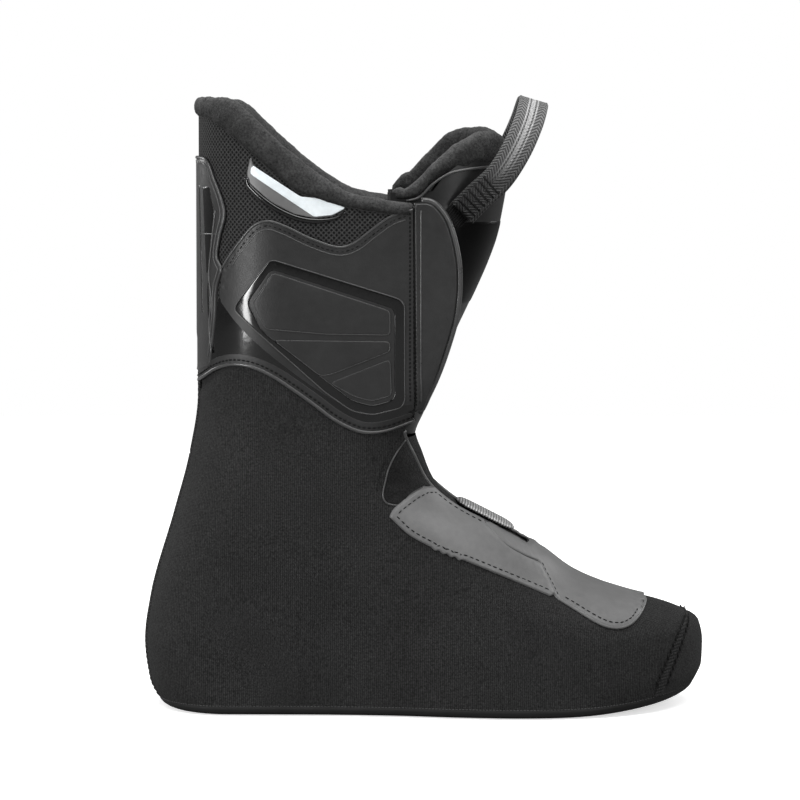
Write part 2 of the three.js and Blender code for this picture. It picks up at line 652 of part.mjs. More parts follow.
function tongueHalf(z) {
  const inThroat = throatHalf(Math.min(z, 205 * up)) - TONGUE_CLEARANCE;
  return inThroat - 2 * smoothstep(z / up, 235, 262);
}

// Arch of points round the tongue at one height, from the outer side over the crown.
function arch(z, inset) {
  const level = z / up;
  const radius = crownRound(level) * along;
  const centre = crownLine(level) * along - radius;
  const points = [];
  const flank = 34;
  for (let i = -5; i <= 5; i += 1) {
    const side = Math.sign(i);
    const turn = (Math.min(Math.abs(i), 4) / 4) * (Math.PI / 2);
    const back = Math.max(Math.abs(i) - 4, 0) * flank;
    const x = centre + (radius - inset) * Math.cos(turn) - back;
    points.push(new THREE.Vector3(x, side * (tongueHalf(z) - inset) * Math.sin(turn), z));
  }
  return points;
}

function tongueLayer(outer, inner) {
  const heights = TONGUE_LEVELS.map((z, i) => (i === 0 ? TONGUE_FOOT_Z + GAP : z * up));
  return wall(heights.map((z) => arch(z, outer)), heights.map((z) => arch(z, inner)), false);
}

function makeTongue() {
  const outline = [...TONGUE_BACK, ...TONGUE_CREST];
  const body = sideCut(outline);
  const foamInner = SKIN + GAP + TONGUE_FOAM;
  const fleece = sideCut(above(FLEECE_EDGE), 0, -SPLIT);
  const underFleece = sideCut(below(FLEECE_EDGE), 0, -SPLIT);
  const shell = tongueLayer(0, SKIN).intersect(body).intersect(underFleece);
  add('tongue_shell', 'plate', shell.subtract(sideCut(INSERT, 0, SPLIT)));
  add('tongue_insert', 'gloss', shell.intersect(sideCut(INSERT, 0, -SPLIT)));
  const core = tongueLayer(SKIN + GAP, foamInner).intersect(body).intersect(underFleece);
  add('tongue_foam', 'foam', core);
  add('tongue_lining', 'fleece', tongueLayer(foamInner + GAP, foamInner + GAP + LINING).intersect(body)
    .intersect(underFleece));
  const top = tongueLayer(-0.5, foamInner + GAP + LINING).intersect(body);
  add('tongue_fleece', 'fleece', top.intersect(fleece));
  SIDES.forEach(([name, side]) => {
    const tab = tongueLayer(-GAP - WEBBING, -GAP).intersect(sideCut(LOOP_TAB, side));
    add(`loop_tab_${name}`, 'webbing', tab.subtract(fleece));
  });
}

// Padded silver end of the tongue that bulges through the throat above the toes.
function endRoll(margin) {
  const start = new THREE.Vector3(22 * along, 0, 101.8 * up);
  const end = new THREE.Vector3(46 * along, 0, 90.2 * up);
  const slope = end.clone().sub(start).normalize();
  const normal = new THREE.Vector3(-slope.z, 0, slope.x);
  const half = throatHalf(92 * up) - GAP - 0.6;
  const thick = 3.4;
  const rings = [0, 0.08, 0.3, 0.7, 0.92, 1].map((share) => {
    const taper = Math.sqrt(Math.max(1 - (2 * share - 1) ** 6, 0.2));
    const centre = start.clone().lerp(end, share).addScaledVector(slope, (2 * share - 1) * margin);
    const points = [];
    for (let k = 0; k < 12; k += 1) {
      const turn = (k / 12) * 2 * Math.PI;
      const point = centre.clone().addScaledVector(normal, (thick * taper + margin) * Math.sin(turn));
      points.push(point.setY((half * taper + margin) * Math.cos(turn)));
    }
    return points;
  });
  return loft(rings);
}

// ---- pull loop ----

// One strap that stands up from the outer tab, crosses over the tongue and comes down again.
function makePullLoop() {
  const side = new THREE.CatmullRomCurve3(LOOP_LINE.map(graded).map(([x, z]) => new THREE.Vector3(x, 0, z)));
  const reach = tongueHalf(260 * up) + GAP + 2.4;
  const rings = [];
  const steps = 22;
  for (let i = 0; i <= steps; i += 1) {
    const u = (2 * i) / steps - 1;
    const climb = 1 - Math.abs(u) ** 2.4;
    const inward = LOOP_INSET * (1 - smoothstep(climb, 0, 0.3));
    const spread = Math.sign(u) * (reach * Math.min(1, 1.06 * Math.abs(u) ** 0.5) - inward);
    const at = side.getPoint(clamp(climb, 0, 1));
    const tangent = side.getTangent(clamp(climb, 0.02, 0.98));
    const across = new THREE.Vector3(tangent.z, 0, -tangent.x);
    rings.push({ at: new THREE.Vector3(at.x, spread, at.z), across });
  }
  const sections = rings.map(({ at, across }, i) => {
    const next = rings[Math.min(i + 1, steps)].at;
    const previous = rings[Math.max(i - 1, 0)].at;
    const path = next.clone().sub(previous).normalize();
    const normal = path.clone().cross(across).normalize();
    const corner = (a, b) => at.clone().addScaledVector(across, (a * WEBBING_WIDTH) / 2)
      .addScaledVector(normal, (b * WEBBING) / 2);
    return [corner(-1, -1), corner(1, -1), corner(1, 1), corner(-1, 1)];
  });
  add('pull_loop', 'webbing', loft(sections));
}

makeSole();
makeFootSkins();
makeFootOverlays();
makeFootPadding();
makeTongueRoot();
makeCuff();
add('collar_roll', 'fleece', collarLoft(COLLAR_ROLL, ROLL_SEAT, 0));
makeFlaps();
makeTongue();
makePullLoop();

export default boot;
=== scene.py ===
"""Looks of the ski-boot liner, built round the fixed CAD frame.

Patterns are drawn in millimetres as side views (x, z), with the toe towards +X and the outer side
towards -Y. Every sheet lies on one last-shaped surface, at an inset T measured inwards from it.
"""

import math

import bpy
import numpy as np
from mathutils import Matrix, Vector
from mathutils.geometry import delaunay_2d_cdt


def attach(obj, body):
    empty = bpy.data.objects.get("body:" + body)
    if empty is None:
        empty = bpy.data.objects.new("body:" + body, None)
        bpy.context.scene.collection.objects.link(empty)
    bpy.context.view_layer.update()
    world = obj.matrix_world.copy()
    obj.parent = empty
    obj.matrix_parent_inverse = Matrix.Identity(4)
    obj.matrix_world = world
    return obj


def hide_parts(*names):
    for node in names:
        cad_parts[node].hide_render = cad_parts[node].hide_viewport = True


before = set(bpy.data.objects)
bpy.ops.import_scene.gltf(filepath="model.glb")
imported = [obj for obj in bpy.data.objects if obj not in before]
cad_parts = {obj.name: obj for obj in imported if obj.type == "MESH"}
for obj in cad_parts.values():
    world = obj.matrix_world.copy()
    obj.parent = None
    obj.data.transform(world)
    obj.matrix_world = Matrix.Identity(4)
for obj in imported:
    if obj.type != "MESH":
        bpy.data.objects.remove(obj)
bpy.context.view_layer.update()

MM = 0.001
HALF_PI = math.pi / 2
OUTER = -1
INNER = 1
SIDES = (("lateral", OUTER), ("medial", INNER))


# ---- sizes in millimetres ----
FOREFOOT_WIDTH = 101
HEEL_WIDTH = 74
ANKLE_WIDTH = 79
CUFF_WIDTH = 104
PLAN_PEAK = 1.355  # mean of the two plans where the foot is widest
TOE_SPRING = 7
TOE_SWING = 8
CAVITY = 7.7
SOLE = 4.3
SKIN_FOOT = 4.6
STITCH_X = -6.6
TONGUE_FOOT = 139.6
THROAT_FOOT = 84
CROWN_LEVEL = 52.5  # the vamp's front edge on the middle line
CROWN_SHARE = 0.8  # share of the tongue's half arch that is its crown
FLANK_REACH = 34
LIP_LEVEL = 258.0
CAP_LEVEL = 265.0
ROLL_LEVEL = 260.0
ROLL_OUT = -0.6
ROLL_IN = CAVITY + 0.4


# ---- curves of the last ----


def curve(points):
    """Smooth monotone curve through (t, value) pairs, flat beyond its ends."""
    t, value = np.array(points, float).T
    slope = np.diff(value) / np.diff(t)
    tangent = np.concatenate([slope[:1], np.zeros(len(slope) - 1), slope[-1:]])
    for i in range(1, len(slope)):
        before, after = slope[i - 1], slope[i]
        if before * after > 0:
            tangent[i] = 2 * before * after / (before + after)

    def at(x):
        x = np.clip(x, t[0], t[-1])
        i = np.clip(np.searchsorted(t, x, side="right") - 1, 0, len(t) - 2)
        width = t[i + 1] - t[i]
        share = (x - t[i]) / width
        rise = value[i + 1] - value[i]
        start = tangent[i] * width
        end = tangent[i + 1] * width
        square = share * share * (3 * rise - 2 * start - end)
        return value[i] + share * start + square + share**3 * (start + end - 2 * rise)

    return at


back_line = curve(
    [(0, -134), (14, -141), (34, -143.4), (56, -140.5), (100, -128), (130, -120), (160, -115.6),
     (311, -115.2)]
)
front_line = curve(
    [(0, 133), (6, 138), (14, 141.6), (25, 142), (35, 140), (40, 135), (46, 125), (53, 108), (61, 88.5),
     (68, 75), (80, 59), (92.5, 38.8), (105, 17), (117, 5), (129, 0), (142, -4), (150, 6), (160, 20),
     (175, 40), (200, 60), (250, 80)]
)
back_round = curve([(0, 34), (60, 35), (110, 38), (170, 45), (311, 46)])
front_round = curve([(0, 62), (35, 64), (60, 68), (90, 54), (120, 42), (142, 31), (160, 36), (200, 50)])
outer_plan = curve([(-143, 1), (-60, 1.03), (-20, 1.1), (20, 1.27), (50, 1.34), (80, 1.3), (142, 1.12)])
inner_plan = curve([(-143, 1), (-60, 0.95), (-20, 0.93), (20, 1.14), (60, 1.37), (90, 1.33), (142, 1.16)])
leg_width = curve([(80, 0), (142, 0.03), (160, 0.12), (200, 0.6), (250, 0.9), (311, 1)])
throat_share = curve([(84, 0.4), (120, 0.6), (145, 0.82), (160, 0.89), (175, 0.96), (200, 1)])
crown_line = curve(
    [(139, -3), (150, -1), (160, 2.6), (178, 9.7), (191, 14.8), (203, 20.4), (215, 26), (227, 31.2),
     (240, 35.8), (252, 38.5), (265, 40.6), (285, 41.8), (300, 41.8)]
)
crown_round = curve([(139, 26), (160, 34), (200, 40), (300, 42)])


def lerp(a, b, share):
    return a + (b - a) * share


def smooth(value, low, high):
    share = np.clip((value - low) / (high - low), 0, 1)
    return share * share * (3 - 2 * share)


def unit(vectors):
    return vectors / np.maximum(np.linalg.norm(vectors, axis=-1), 1e-9)[..., None]


def bell(value, middle, width):
    """A smooth hump of height 1."""
    return np.exp(-(((value - middle) / width) ** 2))


def run_length(path):
    """Length along a path up to each of its points."""
    return np.concatenate([[0], np.cumsum(np.linalg.norm(np.diff(path, axis=0), axis=1))])


def leg_half(z):
    return lerp(ANKLE_WIDTH, CUFF_WIDTH, leg_width(z)) / 2


def throat_half(z):
    return (leg_half(z) - CAVITY) * throat_share(z)


def swing(x):
    return TOE_SWING * np.clip((x - 20) / 122, 0, 1) ** 2


def spring(x):
    return TOE_SPRING * np.clip((x - 60) / 80, 0, 1) ** 2


def half_width(x, z, side):
    plan = np.where(side < 0, outer_plan(x), inner_plan(x))
    base = lerp(HEEL_WIDTH, FOREFOOT_WIDTH / PLAN_PEAK, smooth(x, -60, 50)) / 2 * plan
    return lerp(base, leg_half(z), smooth(z, 25, 112))


def centres(z):
    """Where the back and front arcs of the ring start at a height, with their radii."""
    back = back_round(z)
    front = front_round(z)
    return back_line(z) + back, back, front_line(z) - front, front


def last(s, z, inset, side):
    """Points of the last. s is x on the flank, and arc length round the back and front."""
    s, z, inset, side = np.broadcast_arrays(*[np.asarray(v, float) for v in (s, z, inset, side)])
    back_x, back, front_x, front = centres(z)
    run = np.abs(front_line(z + 1) - front_line(z - 1)) / 2
    slant = np.minimum(np.hypot(1, run), 3.4)
    rear = np.clip(HALF_PI - (back_x - s) / back, 0, HALF_PI)
    fore = np.clip(HALF_PI - (s - front_x) / front, 0, HALF_PI)
    x = np.where(s < back_x, back_x - (back - inset) * np.cos(rear), s)
    x = np.where(s > front_x, front_x + np.maximum(front - slant * inset, 4) * np.cos(fore), x)
    full = np.where(s < back_x, np.sin(rear), 1.0)
    full = np.where(s > front_x, np.sin(fore) ** 0.92, full)
    y = side * (half_width(x, z, side) - inset) * full + swing(x)
    return np.stack([x, y, z + spring(x)], -1)


def back_s(z):
    back_x, back, _, _ = centres(z)
    return back_x - HALF_PI * back


def front_s(z):
    _, _, front_x, front = centres(z)
    return front_x + HALF_PI * front


def back_point(level):
    return np.array([float(back_s(level)), level])


def s_of(x, z):
    """The s of a side-view x at a level."""
    back_x, back, front_x, front = centres(z)
    rear = np.arccos(np.clip((back_x - x) / back, 0, 1))
    fore = np.arccos(np.clip((x - front_x) / front, 0, 1))
    s = np.where(x < back_x, back_x - (HALF_PI - rear) * back, x)
    return np.where(x > front_x, front_x + (HALF_PI - fore) * front, s)


def s_at_half(z, half, inset=0.0):
    """The s on the front arc where the ring is a given distance from the middle plane."""
    z = np.asarray(z, float)
    low = centres(z)[2] - 30
    high = front_s(z)
    for _ in range(40):
        middle = (low + high) / 2
        point = last(middle, z, inset, OUTER)
        wide = np.abs(point[..., 1] - swing(point[..., 0])) > half
        low = np.where(wide, middle, low)
        high = np.where(wide, high, middle)
    return low


def throat_s(z):
    return s_at_half(z, throat_half(z))


# ---- side-view patterns ----


def resample(line, step):
    line = np.asarray(line, float)
    run = run_length(line)
    count = max(int(round(run[-1] / step)), 1) + 1
    at = np.linspace(0, run[-1], count)
    return np.stack([np.interp(at, run, line[:, k]) for k in range(line.shape[1])], -1)


def spline(points, step=1.2):
    """Smooth line through points, as points about step apart."""
    points = np.asarray(points, float)
    gaps = np.linalg.norm(np.diff(points, axis=0), axis=1)
    tangents = np.empty_like(points)
    tangents[0] = (points[1] - points[0]) / gaps[0]
    tangents[-1] = (points[-1] - points[-2]) / gaps[-1]
    for i in range(1, len(points) - 1):
        tangents[i] = (points[i + 1] - points[i - 1]) / (gaps[i - 1] + gaps[i])
    parts = []
    for i, gap in enumerate(gaps):
        t = np.linspace(0, 1, max(int(gap / 0.3), 3), endpoint=False)[:, None]
        start = (2 * t**3 - 3 * t**2 + 1) * points[i] + (t**3 - 2 * t**2 + t) * gap * tangents[i]
        end = (3 * t**2 - 2 * t**3) * points[i + 1] + (t**3 - t**2) * gap * tangents[i + 1]
        parts.append(start + end)
    return resample(np.vstack([*parts, points[-1:]]), step)


def straight(points, step=1.2):
    parts = [resample(points[i : i + 2], step)[:-1] for i in range(len(points) - 1)]
    return np.vstack([*parts, [points[-1]]])


def laid(line):
    """A side-view line (x, z) as (s, level) on the last."""
    line = np.asarray(line, float)
    level = line[:, 1] - spring(line[:, 0])
    return np.stack([s_of(line[:, 0], level), level], -1)


def meridian(function, low, high, step=1.5):
    """The line s = function(level) between two levels."""
    z = np.linspace(low, high, max(int(abs(high - low) / step), 2) + 1)
    return np.stack([function(z), z], -1)


def loop_of(*runs):
    return np.vstack([run[:-1] for run in runs])


# ---- meshes ----


def linked(name, data):
    """A new object in the scene."""
    thing = bpy.data.objects.new(name, data)
    bpy.context.scene.collection.objects.link(thing)
    return thing


def mesh_piece(name, points, faces, uv, material):
    """Object from points in millimetres, faces, and one (u, v) per point in metres."""
    mesh = bpy.data.meshes.new(name)
    mesh.from_pydata((np.asarray(points) * MM).tolist(), [], [list(map(int, f)) for f in faces])
    mesh.polygons.foreach_set("use_smooth", [True] * len(mesh.polygons))
    corners = np.empty(len(mesh.loops), np.int32)
    mesh.loops.foreach_get("vertex_index", corners)
    layer = mesh.uv_layers.new(name="weave")
    layer.data.foreach_set("uv", (np.asarray(uv, float)[corners] * MM).ravel())
    mesh.materials.append(material)
    piece = linked(name, mesh)
    mesh.validate()
    return piece


def inside(points, loops):
    """Even-odd test of points against closed loops."""
    result = np.zeros(len(points), bool)
    for loop in loops:
        x0, y0 = loop.T
        x1, y1 = np.roll(loop, -1, axis=0).T
        rise = np.where(y1 == y0, 1e-9, y1 - y0)
        for k in range(0, len(points), 4000):
            px = points[k : k + 4000, 0][:, None]
            py = points[k : k + 4000, 1][:, None]
            crossed = ((y0 > py) != (y1 > py)) & (px < x0 + (py - y0) * (x1 - x0) / rise)
            result[k : k + 4000] ^= crossed.sum(1) % 2 == 1
    return result


def distance(points, lines):
    """Distance from each point to the nearest of the lines."""
    best = np.full(len(points), 1e3)
    for line in lines:
        a = line[:-1]
        ab = line[1:] - a
        size = np.maximum((ab**2).sum(1), 1e-9)
        for k in range(0, len(points), 3000):
            ap = points[k : k + 3000, None, :] - a
            t = np.clip((ap * ab).sum(2) / size, 0, 1)
            gap = np.linalg.norm(ap - t[..., None] * ab, axis=2).min(1)
            best[k : k + 3000] = np.minimum(best[k : k + 3000], gap)
    return best


def triangulate(loops, hard, edge, step):
    """Points and triangles that fill the loops: rows along hard edges, and a grid elsewhere."""
    low = loops[0].min(0)
    high = loops[0].max(0)
    xs = np.arange(low[0], high[0] + step, step)
    zs = np.arange(low[1], high[1] + step, step * 0.87)
    grid = np.array([(x + (j % 2) * step / 2, z) for j, z in enumerate(zs) for x in xs])
    closed = [np.vstack([loop, loop[:1]]) for loop in loops]
    grid = grid[inside(grid, loops)]
    grid = grid[distance(grid, closed) > step * 0.5]
    if hard:
        grid = grid[distance(grid, hard) > edge + step * 0.4]
    rows = []
    for line in hard:
        for share in (0.12, 0.4, 0.7, 1.0):
            for way in (-1, 1):
                row = offset(line, way * share * edge)
                row = row[inside(row, loops)]
                if len(row):
                    rows.append(row[distance(row, closed) > 0.85 * share * edge])
    cloud = np.vstack([*loops, *rows, grid])
    edges = []
    start = 0
    for loop in loops:
        count = len(loop)
        edges += [(start + i, start + (i + 1) % count) for i in range(count)]
        start += count
    found = delaunay_2d_cdt([Vector(p) for p in cloud.tolist()], edges, [], 0, 1e-5)
    points = np.array([tuple(p) for p in found[0]])
    faces = np.array(found[2])
    middles = points[faces].mean(1)
    faces = faces[inside(middles, loops)]
    a, b, c = (points[faces[:, k]] for k in range(3))
    area = (b[:, 0] - a[:, 0]) * (c[:, 1] - a[:, 1]) - (b[:, 1] - a[:, 1]) * (c[:, 0] - a[:, 0])
    faces = faces[np.abs(area) > 1e-5]
    area = area[np.abs(area) > 1e-5]
    faces[area < 0] = faces[area < 0][:, ::-1]
    used = np.unique(faces)
    index = np.full(len(points), -1)
    index[used] = np.arange(len(used))
    return points[used], index[faces]


def rim_edges(faces):
    """Directed edges that belong to one triangle only."""
    seen = {}
    for face in faces.tolist():
        for k in range(3):
            seen[(face[k], face[(k + 1) % 3])] = True
    return [pair for pair in seen if (pair[1], pair[0]) not in seen]


def dome(share):
    return np.sqrt(1 - (1 - np.clip(share, 0, 1)) ** 2)


def sheet(runs, side, top, foot=0.0, edge=1.0, step=2.5, back=None, relief=None, holes=(), shape=last):
    """Arrays of one sheet: runs are (line, is_edge) pairs that close a loop in (s, level).

    The sheet rises from inset foot at its edges to inset top. A skirt goes down to inset back.
    """
    loops = [loop_of(*[line for line, _ in runs]), *holes]
    hard = [line for line, is_edge in runs if is_edge]
    hard += [np.vstack([hole, hole[:1]]) for hole in holes]
    flat, faces = triangulate(loops, hard, edge, step)
    gap = distance(flat, hard) if hard else np.full(len(flat), 1e3)
    inset = foot + (top - foot) * dome(gap / edge)
    if relief is not None:
        inset = inset + relief(flat[:, 0], flat[:, 1], gap)
    points = shape(flat[:, 0], flat[:, 1], inset, side)
    faces = faces.tolist()
    uv = flat
    if back is not None:
        base = len(points)
        under = shape(flat[:, 0], flat[:, 1], np.full(len(flat), float(back)), side)
        points = np.vstack([points, under])
        uv = np.vstack([flat, flat])
        rim = rim_edges(np.array(faces))
        on_edge = gap < 0.05
        under_faces = [[base + k for k in face[::-1]] for face in faces]
        faces = faces + under_faces
        faces += [[b, a, base + a, base + b] for a, b in rim if on_edge[a] and on_edge[b]]
    if side > 0:
        faces = [face[::-1] for face in faces]
    return points, faces, uv


def panel(name, runs, side, material, **options):
    return mesh_piece(name, *sheet(runs, side, **options), material)


def joined(name, parts, material):
    """One object from several (points, faces, uv) parts, welded where they meet."""
    points, faces, uv = [], [], []
    base = 0
    for part_points, part_faces, part_uv in parts:
        points.append(part_points)
        uv.append(part_uv)
        faces += [[base + k for k in face] for face in part_faces]
        base += len(part_points)
    points = np.vstack(points)
    uv = np.vstack(uv)
    keys = {}
    target = np.empty(len(points), int)
    for i, key in enumerate(map(tuple, np.round(points / 0.02).astype(int).tolist())):
        target[i] = keys.setdefault(key, i)
    used = np.unique(target)
    index = np.zeros(len(points), int)
    index[used] = np.arange(len(used))
    welded = []
    for face in faces:
        face = [int(index[target[k]]) for k in face]
        if len(set(face)) == len(face):
            welded.append(face)
    return mesh_piece(name, points[used], welded, uv[used], material)


def both(runs, flip=False, **options):
    """The outer and inner halves of a sheet that crosses the middle plane."""
    parts = []
    for _, side in SIDES:
        points, faces, uv = sheet(runs, side, **options)
        if flip:
            faces = [face[::-1] for face in faces]
        parts.append((points, faces, uv * [-side, 1]))
    return parts


def grid_arrays(points, uv=None, closed_u=False, flip=False):
    """Quads over an array of points [rows, columns, 3]."""
    rows, columns = points.shape[:2]
    faces = []
    spans = columns if closed_u else columns - 1
    for j in range(rows - 1):
        for i in range(spans):
            k = (i + 1) % columns
            face = [j * columns + i, j * columns + k, (j + 1) * columns + k, (j + 1) * columns + i]
            faces.append(face[::-1] if flip else face)
    if uv is None:
        across, upward = run_length(points.mean(0)), run_length(points.mean(1))
        uv = np.stack(np.broadcast_arrays(across, upward[:, None]), -1)
    return points.reshape(-1, 3), faces, uv.reshape(-1, 2)


def cap(points, faces, ring, flip):
    """Closes a ring of point numbers with a fan round its middle."""
    centre = len(points)
    points = np.vstack([points, points[ring].mean(0)])
    for i in range(len(ring)):
        face = [ring[i], ring[(i + 1) % len(ring)], centre]
        faces.append(face[::-1] if flip else face)
    return points, faces


def capped_tube(points, uv=None, flip=True):
    """Closed rings [rows, columns, 3] joined into a tube, with a fan over each end."""
    rows, columns = points.shape[:2]
    flat, faces, uv = grid_arrays(points, uv, closed_u=True, flip=flip)
    flat, faces = cap(flat, faces, list(range(columns)), not flip)
    flat, faces = cap(flat, faces, [(rows - 1) * columns + k for k in range(columns)], flip)
    return flat, faces, np.vstack([uv, uv[:1], uv[-1:]])


def tube_arrays(path, radius, sides=8, flat=1.0, normals=None):
    path = np.asarray(path, float)
    if normals is None:
        normals = np.tile([0.0, 0.0, 1.0], (len(path), 1))
    tangent = unit(np.gradient(path, axis=0))
    across = unit(np.cross(tangent, normals))
    up = np.cross(across, tangent)
    turn = np.arange(sides)[:, None] / sides * 2 * math.pi
    ring = across[:, None] * np.cos(turn) + flat * up[:, None] * np.sin(turn)
    radius = np.broadcast_to(radius, (len(path),))
    return capped_tube(path[:, None] + ring * radius[:, None, None])


def on_last(line, side, inset):
    """A line in (s, level) as points and outward normals on the surface."""
    points = last(line[:, 0], line[:, 1], inset, side)
    return points, unit(last(line[:, 0], line[:, 1], inset - 1.0, side) - points)


def piping(line, side, inset, radius, flat=1.0):
    """Cord sewn along a line of the surface."""
    points, normals = on_last(line, side, inset)
    return tube_arrays(points, radius, 8, flat, normals)


def stitches(path, normals, length=1.9, pitch=2.9, radius=0.34, lift=0.1, slant=0.0):
    """Thread stitches laid along a path, each a small spindle; slant alternates for a zigzag."""
    run = run_length(path)
    count = max(int(run[-1] / pitch), 1)
    at = (np.arange(count) + 0.5) * run[-1] / count
    parts = []
    for k, middle in enumerate(at):
        pick = lambda values, where: np.array([np.interp(where, run, values[:, c]) for c in range(3)])
        start = pick(path, middle - length / 2)
        end = pick(path, middle + length / 2)
        normal = pick(normals, middle)
        across = unit(np.cross(normal, end - start))
        sway = slant * (1 if k % 2 else -1)
        start = start - across * sway
        end = end + across * sway
        t = np.array([0, 0.15, 0.5, 0.85, 1])[:, None]
        line = start + (end - start) * t + normal * lift * (1 - (2 * t - 1) ** 4)
        size = radius * np.array([0.45, 0.9, 1, 0.9, 0.45])
        parts.append(tube_arrays(line, size, 6, 0.8, np.tile(normal, (5, 1))))
    return parts


def stitched(line, side, inset, **options):
    points, normals = on_last(line, side, inset)
    return stitches(points, normals, **options)


def offset(line, gap):
    """A line moved sideways in the pattern plane; positive is to its left."""
    along = unit(np.gradient(line, axis=0))
    return line + gap * np.stack([-along[:, 1], along[:, 0]], -1)


# ---- materials ----


def nodes_of(name):
    material = bpy.data.materials.new(name)
    material.use_nodes = True
    tree = material.node_tree
    return material, tree, tree.nodes["Principled BSDF"]


def grey(colour):
    return (colour,) * 3 if isinstance(colour, (int, float)) else colour


def feed(tree, socket, value):
    """Links an output to a socket, or sets the socket's plain value."""
    if isinstance(value, bpy.types.NodeSocket):
        tree.links.new(value, socket)
    elif socket.type == "RGBA":
        socket.default_value = (*grey(value), 1)
    else:
        socket.default_value = value


def add_node(tree, kind, **inputs):
    """A node with its inputs set; names starting with a capital are input sockets."""
    node = tree.nodes.new(kind)
    for key, value in inputs.items():
        if key[0].isupper():
            feed(tree, node.inputs[key.replace("_", " ")], value)
        else:
            setattr(node, key, value)
    return node


def math_node(tree, operation, *values):
    node = add_node(tree, "ShaderNodeMath", operation=operation)
    for socket, value in zip(node.inputs, values):
        feed(tree, socket, value)
    return node.outputs[0]


def product(tree, a, b):
    return math_node(tree, "MULTIPLY", a, b)


def scaled(tree, value, gain, base):
    return math_node(tree, "ADD", product(tree, value, gain), base)


def ripple(tree, value, period):
    return math_node(tree, "SINE", product(tree, value, 2 * math.pi / period))


def weave_uv(tree, turn=0.0):
    """The fabric's own coordinates in metres, turned by an angle."""
    uv = add_node(tree, "ShaderNodeUVMap", uv_map="weave")
    return add_node(tree, "ShaderNodeMapping", Vector=uv.outputs[0], Rotation=(0, 0, turn)).outputs[0]


def bands(tree, vector, period, direction="X", distortion=0.0):
    """Waves with a period in metres, from 0 to 1."""
    wave = add_node(
        tree, "ShaderNodeTexWave", bands_direction=direction, Vector=vector,
        Scale=2 * math.pi / (20 * period), Distortion=distortion, Detail=1.0,
    )
    return wave.outputs["Fac"]


def place(tree):
    return add_node(tree, "ShaderNodeTexCoord").outputs["Object"]


def noise(tree, size, detail=3.0, roughness=0.6):
    """Noise with features of a size in metres."""
    found = add_node(
        tree, "ShaderNodeTexNoise", Vector=place(tree), Scale=1 / size, Detail=detail, Roughness=roughness
    )
    return found.outputs["Fac"]


def ramp(tree, value, stops):
    node = add_node(tree, "ShaderNodeValToRGB", Fac=value)
    first, second = node.color_ramp.elements
    for element, (position, colour) in zip((first, second), (stops[0], stops[-1])):
        element.position = position
        element.color = (*grey(colour), 1)
    for position, colour in stops[1:-1]:
        node.color_ramp.elements.new(position).color = (*grey(colour), 1)
    return node.outputs[0]


def mixed(tree, factor, a, b, blend_type="MIX"):
    node = add_node(tree, "ShaderNodeMix", data_type="RGBA", blend_type=blend_type)
    for socket, value in zip((node.inputs["Factor"], node.inputs[6], node.inputs[7]), (factor, a, b)):
        feed(tree, socket, value)
    return node.outputs[2]


def tint(tree, colour, value, *stops):
    """Multiplies a colour by a ramp of a value."""
    return mixed(tree, 1.0, colour, ramp(tree, value, stops), "MULTIPLY")


def bump(tree, shader, *heights):
    """Stacks bumps, each (height, distance in metres, strength)."""
    normal = None
    for height, reach, strength in heights:
        node = add_node(tree, "ShaderNodeBump", Height=height, Distance=reach, Strength=strength)
        if normal is not None:
            tree.links.new(normal, node.inputs["Normal"])
        normal = node.outputs[0]
    tree.links.new(normal, shader.inputs["Normal"])


def finish_shader(tree, shader, colour, roughness, specular, sheen=0.0):
    values = {
        "Base Color": colour, "Roughness": roughness, "Specular IOR Level": specular, "Sheen Weight": sheen,
        "Sheen Roughness": 0.5,
    }
    for name, value in values.items():
        feed(tree, shader.inputs[name], value)


def ribbed_textile(name, dark, light, period=0.0013, turn=0.0):
    """Knitted face cloth with fine ribs."""
    material, tree, shader = nodes_of(name)
    uv = weave_uv(tree, turn)
    rows = bands(tree, uv, period * 0.75, "Y", 0.6)
    knit = product(tree, bands(tree, uv, period, "X", 0.4), scaled(tree, rows, 0.5, 0.5))
    speck = noise(tree, 0.0009, 2.0)
    colour = ramp(tree, knit, [(0.1, dark), (0.95, light)])
    colour = tint(tree, colour, speck, (0.3, 0.5), (0.72, 1.6))
    colour = tint(tree, colour, noise(tree, 0.045), (0.3, 0.85), (0.7, 1.12))
    bump(tree, shader, (knit, 0.00035, 0.8), (speck, 0.0003, 0.35))
    finish_shader(tree, shader, colour, 0.9, 0.08, sheen=0.03)
    return material


def dotted_mesh(name, dark, light, period=0.0021):
    """Air mesh with a diamond grid of small dots."""
    material, tree, shader = nodes_of(name)
    uv = weave_uv(tree, math.pi / 4)
    cells = product(tree, bands(tree, uv, period, "X"), bands(tree, uv, period, "Y"))
    fleck = noise(tree, 0.0007, 2.0)
    colour = ramp(tree, cells, [(0.08, light), (0.35, dark), (0.6, dark * 0.2)])
    colour = tint(tree, colour, fleck, (0.35, 0.6), (0.7, 1.6))
    bump(tree, shader, (cells, 0.0006, -0.9), (fleck, 0.0003, 0.4))
    finish_shader(tree, shader, colour, 0.85, 0.2)
    return material


